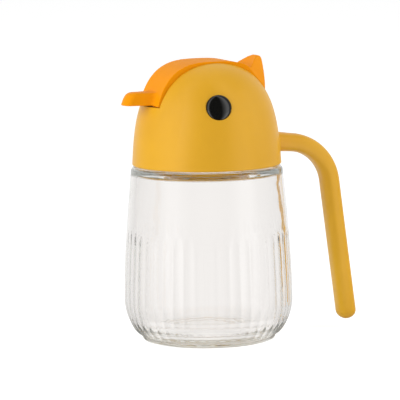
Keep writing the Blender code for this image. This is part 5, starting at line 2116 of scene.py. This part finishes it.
@dataclass
class Studio:
    """A white sweep with soft lamps and the camera. Places and sizes in metres."""

    camera_place: tuple[float, float, float] = (-0.70687, -1.68561, 0.31875)
    camera_aim: tuple[float, float, float] = (-0.0252, 0.0016, 0.0824)
    camera_lens_mm: float = 279.0
    camera_roll: float = -0.8
    camera_azimuth: float = -22.0
    floor_half: float = 6.0
    floor_drop: float = 0.00005
    glass_bounces: int = 28
    paper: str = "#E8E8E8"
    paper_glow: float = 0.5
    # Through glass the floor and sky are painted brighter and warmer, and the floor shows less of
    # its shadow: painted light that only glass shows
    paper_glow_through_glass: float = 0.87
    paper_share_through_glass: float = 0.12
    through_glass: str = "#FFFBF8"
    sky: float = 0.6
    sky_through_glass: float = 0.915
    # How often round the set, and how grey, soft painted panels show in the glass: painted light on
    # the floor and sky that only rays through glass see
    panels: tuple[tuple[float, float], ...] = ((4.0, 0.12), (12.0, 0.02))
    # Painted reflections that only gloss sees, from behind the object to the camera: sweep, gap,
    # softboxes, dark room; the softbox bands are painted highlights that light nothing
    painted_reflection_level: float = 1.15
    room_turn: float = 3.0
    room: tuple[tuple[float, float], ...] = (
        (0.0, 0.7), (0.05, 0.7), (0.2, 0.34), (0.36, 0.3), (0.46, 0.15), (0.61, 0.12), (0.73, 1.0),
        (0.83, 1.0), (0.95, 0.03), (1.0, 0.03))
    lamps: tuple[Softbox, ...] = (
        Softbox("front_left_softbox", (-1.5, -0.9, 0.75), 0.9, 1.2, 7.5),
        Softbox("left_softbox", (-1.7, 0.3, 0.6), 0.8, 1.2, 9.5),
        Softbox("front_right_softbox", (1.3, -0.6, 0.6), 0.5, 1.2, 7.0),
        Softbox("right_softbox", (1.5, 0.4, 0.6), 0.8, 1.2, 3.0),
    )

    def camera(self) -> None:
        """Sets up the camera at the photograph's viewing angle."""
        lens = bpy.data.cameras.new("camera")
        lens.lens, lens.sensor_width, lens.sensor_fit = self.camera_lens_mm, 36.0, "HORIZONTAL"
        lens.clip_start, lens.clip_end = 0.05, 50.0
        made = bpy.data.objects.new("camera", lens)
        look = (Vector(self.camera_aim) - Vector(self.camera_place)).to_track_quat("-Z", "Y")
        roll = Matrix.Rotation(math.radians(self.camera_roll), 4, "Z")
        made.matrix_world = Matrix.Translation(self.camera_place) @ look.to_matrix().to_4x4() @ roll
        bpy.context.scene.collection.objects.link(made)
        bpy.context.scene.camera = made

    def floor(self) -> None:
        """A white floor that keeps the object's shadow."""
        half = self.floor_half
        corners = [(x, y, -self.floor_drop) for x, y in (
            (-half, -half), (half, -half), (half, half), (-half, half))]
        made = new_object("floor", corners, [(0, 1, 2, 3)])
        paper = bpy.data.materials.new("white_paper_sweep")
        paper.use_nodes = True
        tree = paper.node_tree
        tree.nodes.clear()
        place = add_node(tree, "ShaderNodeTexCoord").outputs["Object"]
        about = add_node(tree, "ShaderNodeVectorMath", {0: place, 1: (AXIS_X, 0.0, 0.0)},
                         operation="SUBTRACT").outputs[0]
        # In gloss and through glass the floor shows painted reflections and painted light from the
        # surroundings, not its lit white
        sums = self.surroundings(tree, about, 1.0)
        share = sums.work(
            ("full share", "LINEAR", "bent", 0.0, 1.0, 1.0, self.paper_share_through_glass),
            ("share", "MULTIPLY", "full share", "level"))
        strength = sums.work(
            ("full glow", "LINEAR", "bent", 0.0, 1.0, self.paper_glow,
             self.paper_glow_through_glass),
            ("glow", "MULTIPLY", "full glow", "level"))
        tone = add_node(tree, "ShaderNodeVectorMath", {0: linear(self.paper)[:3], "Scale": share},
                        operation="SCALE").outputs[0]
        matt = add_node(tree, "ShaderNodeBsdfDiffuse", {"Color": tone}).outputs[0]
        glow = add_node(tree, "ShaderNodeEmission", {
            "Color": self.warmth(sums), "Strength": strength}).outputs[0]
        lit = add_node(tree, "ShaderNodeAddShader", {0: matt, 1: glow}).outputs[0]
        both = add_node(tree, "ShaderNodeMixShader", {0: sums.known["seen"], 1: matt, 2: lit})
        add_node(tree, "ShaderNodeOutputMaterial", {"Surface": both.outputs[0]})
        made.data.materials.append(paper)

    def warmth(self, sums: Sums) -> NodeSocket:
        """White, or the warmer white that stands behind the glass, a painted warm light that only
        glass shows.

        Args:
            sums: The tree's values.

        Returns:
            The colour.
        """
        return add_node(sums.tree, "ShaderNodeMix", {
            "Factor": sums.known["bent"], "A": (1.0, 1.0, 1.0, 1.0),
            "B": linear(self.through_glass)}, data_type="RGBA").outputs["Result"]

    def surroundings(self, tree: NodeTree, way: NodeSocket, through: float) -> Sums:
        """Works out how bright the set looks by the way from the bottle's axis, with the painted
        panels and painted room that gloss and glass see.

        Args:
            tree: The tree that gets the nodes.
            way: The direction, or a place about the axis.
            through: The level through glass where no panel stands.

        Returns:
            The sums with "bent", which is 1 for rays through glass, "seen", which is 1 for rays
            that see the background straight, in gloss or through glass, and "level".
        """
        path = add_node(tree, "ShaderNodeLightPath").outputs
        parts = add_node(tree, "ShaderNodeSeparateXYZ", {0: way}).outputs
        sums = Sums(tree, {
            "x": parts[0], "y": parts[1], "through": through, "straight": path["Is Camera Ray"],
            "gloss": path["Is Glossy Ray"], "bent": path["Is Transmission Ray"]})
        sums.work(("angle", "ARCTAN2", "x", "y"),
                  ("off", "ADD", "angle", math.radians(self.camera_azimuth)))
        for count, grey in self.panels:
            sums.work(("wound", "MULTIPLY", "off", count),
                      ("wave", "COSINE", "wound"),
                      ("panel", "LINEAR", "wave", -1.0, 1.0, 1.0 - grey, 1.0),
                      ("through", "MULTIPLY", "through", "panel"))
        share = sums.work(("turned", "ADD", "off", math.pi + math.radians(self.room_turn)),
                          ("ahead", "COSINE", "turned"),
                          ("share", "LINEAR", "ahead", -1.0, 1.0))
        ramp = add_node(tree, "ShaderNodeValToRGB", {0: share})
        sums.known["room"] = ramp.outputs[0]
        stops = ramp.color_ramp.elements
        for place, _ in self.room[1:-1]:
            stops.new(place)
        for stop, (place, grey) in zip(stops, self.room):
            stop.position, stop.color = place, (grey, grey, grey, 1.0)
        # A ray bent by glass counts as glossy too, so that choice comes last
        sums.work(("mirrored", "MULTIPLY", "room", self.painted_reflection_level),
                  ("in gloss", "LINEAR", "gloss", 0.0, 1.0, 1.0, "mirrored"),
                  ("level", "LINEAR", "bent", 0.0, 1.0, "in gloss", "through"),
                  ("either", "MAXIMUM", "straight", "gloss"),
                  ("seen", "MAXIMUM", "either", "bent"))
        return sums

    def sky_light(self) -> None:
        """A world that is white to the eye, lights plainly and shows painted panels, as painted
        reflections and painted light, to gloss and glass.
        """
        world = bpy.data.worlds.new("studio")
        world.use_nodes = True
        tree = world.node_tree
        tree.nodes.clear()
        way = add_node(tree, "ShaderNodeTexCoord").outputs["Generated"]
        sums = self.surroundings(tree, way, self.sky_through_glass)
        light = add_node(tree, "ShaderNodeBackground", {
            "Color": self.warmth(sums),
            "Strength": sums.work(("light", "LINEAR", "seen", 0.0, 1.0, self.sky, "level"))})
        add_node(tree, "ShaderNodeOutputWorld", {"Surface": light.outputs[0]})
        bpy.context.scene.world = world

    def build(self) -> None:
        """Sets up camera, floor, world and lamps."""
        self.camera()
        self.floor()
        self.sky_light()
        for lamp in self.lamps:
            lamp.build()
        scene = bpy.context.scene
        scene.view_settings.view_transform = "Standard"
        # Light runs far along the inside of a glass wall before it comes out
        scene.cycles.max_bounces = scene.cycles.transmission_bounces = self.glass_bounces
        scene.cycles.glossy_bounces = self.glass_bounces


def main() -> None:
    """Builds every sub-assembly in order."""
    logging.basicConfig(level=logging.INFO, format="%(message)s")
    shell = HeadShell()
    GlassBottle().build()
    NeckGasket().build()
    shell.build()
    InnerCover().build()
    PourSpout().build()
    SideHandle().build()
    for side in Side:
        Eye(side, shell).build()
    FlipLid().build()
    Studio().build()


if __name__ == "__main__":
    main()
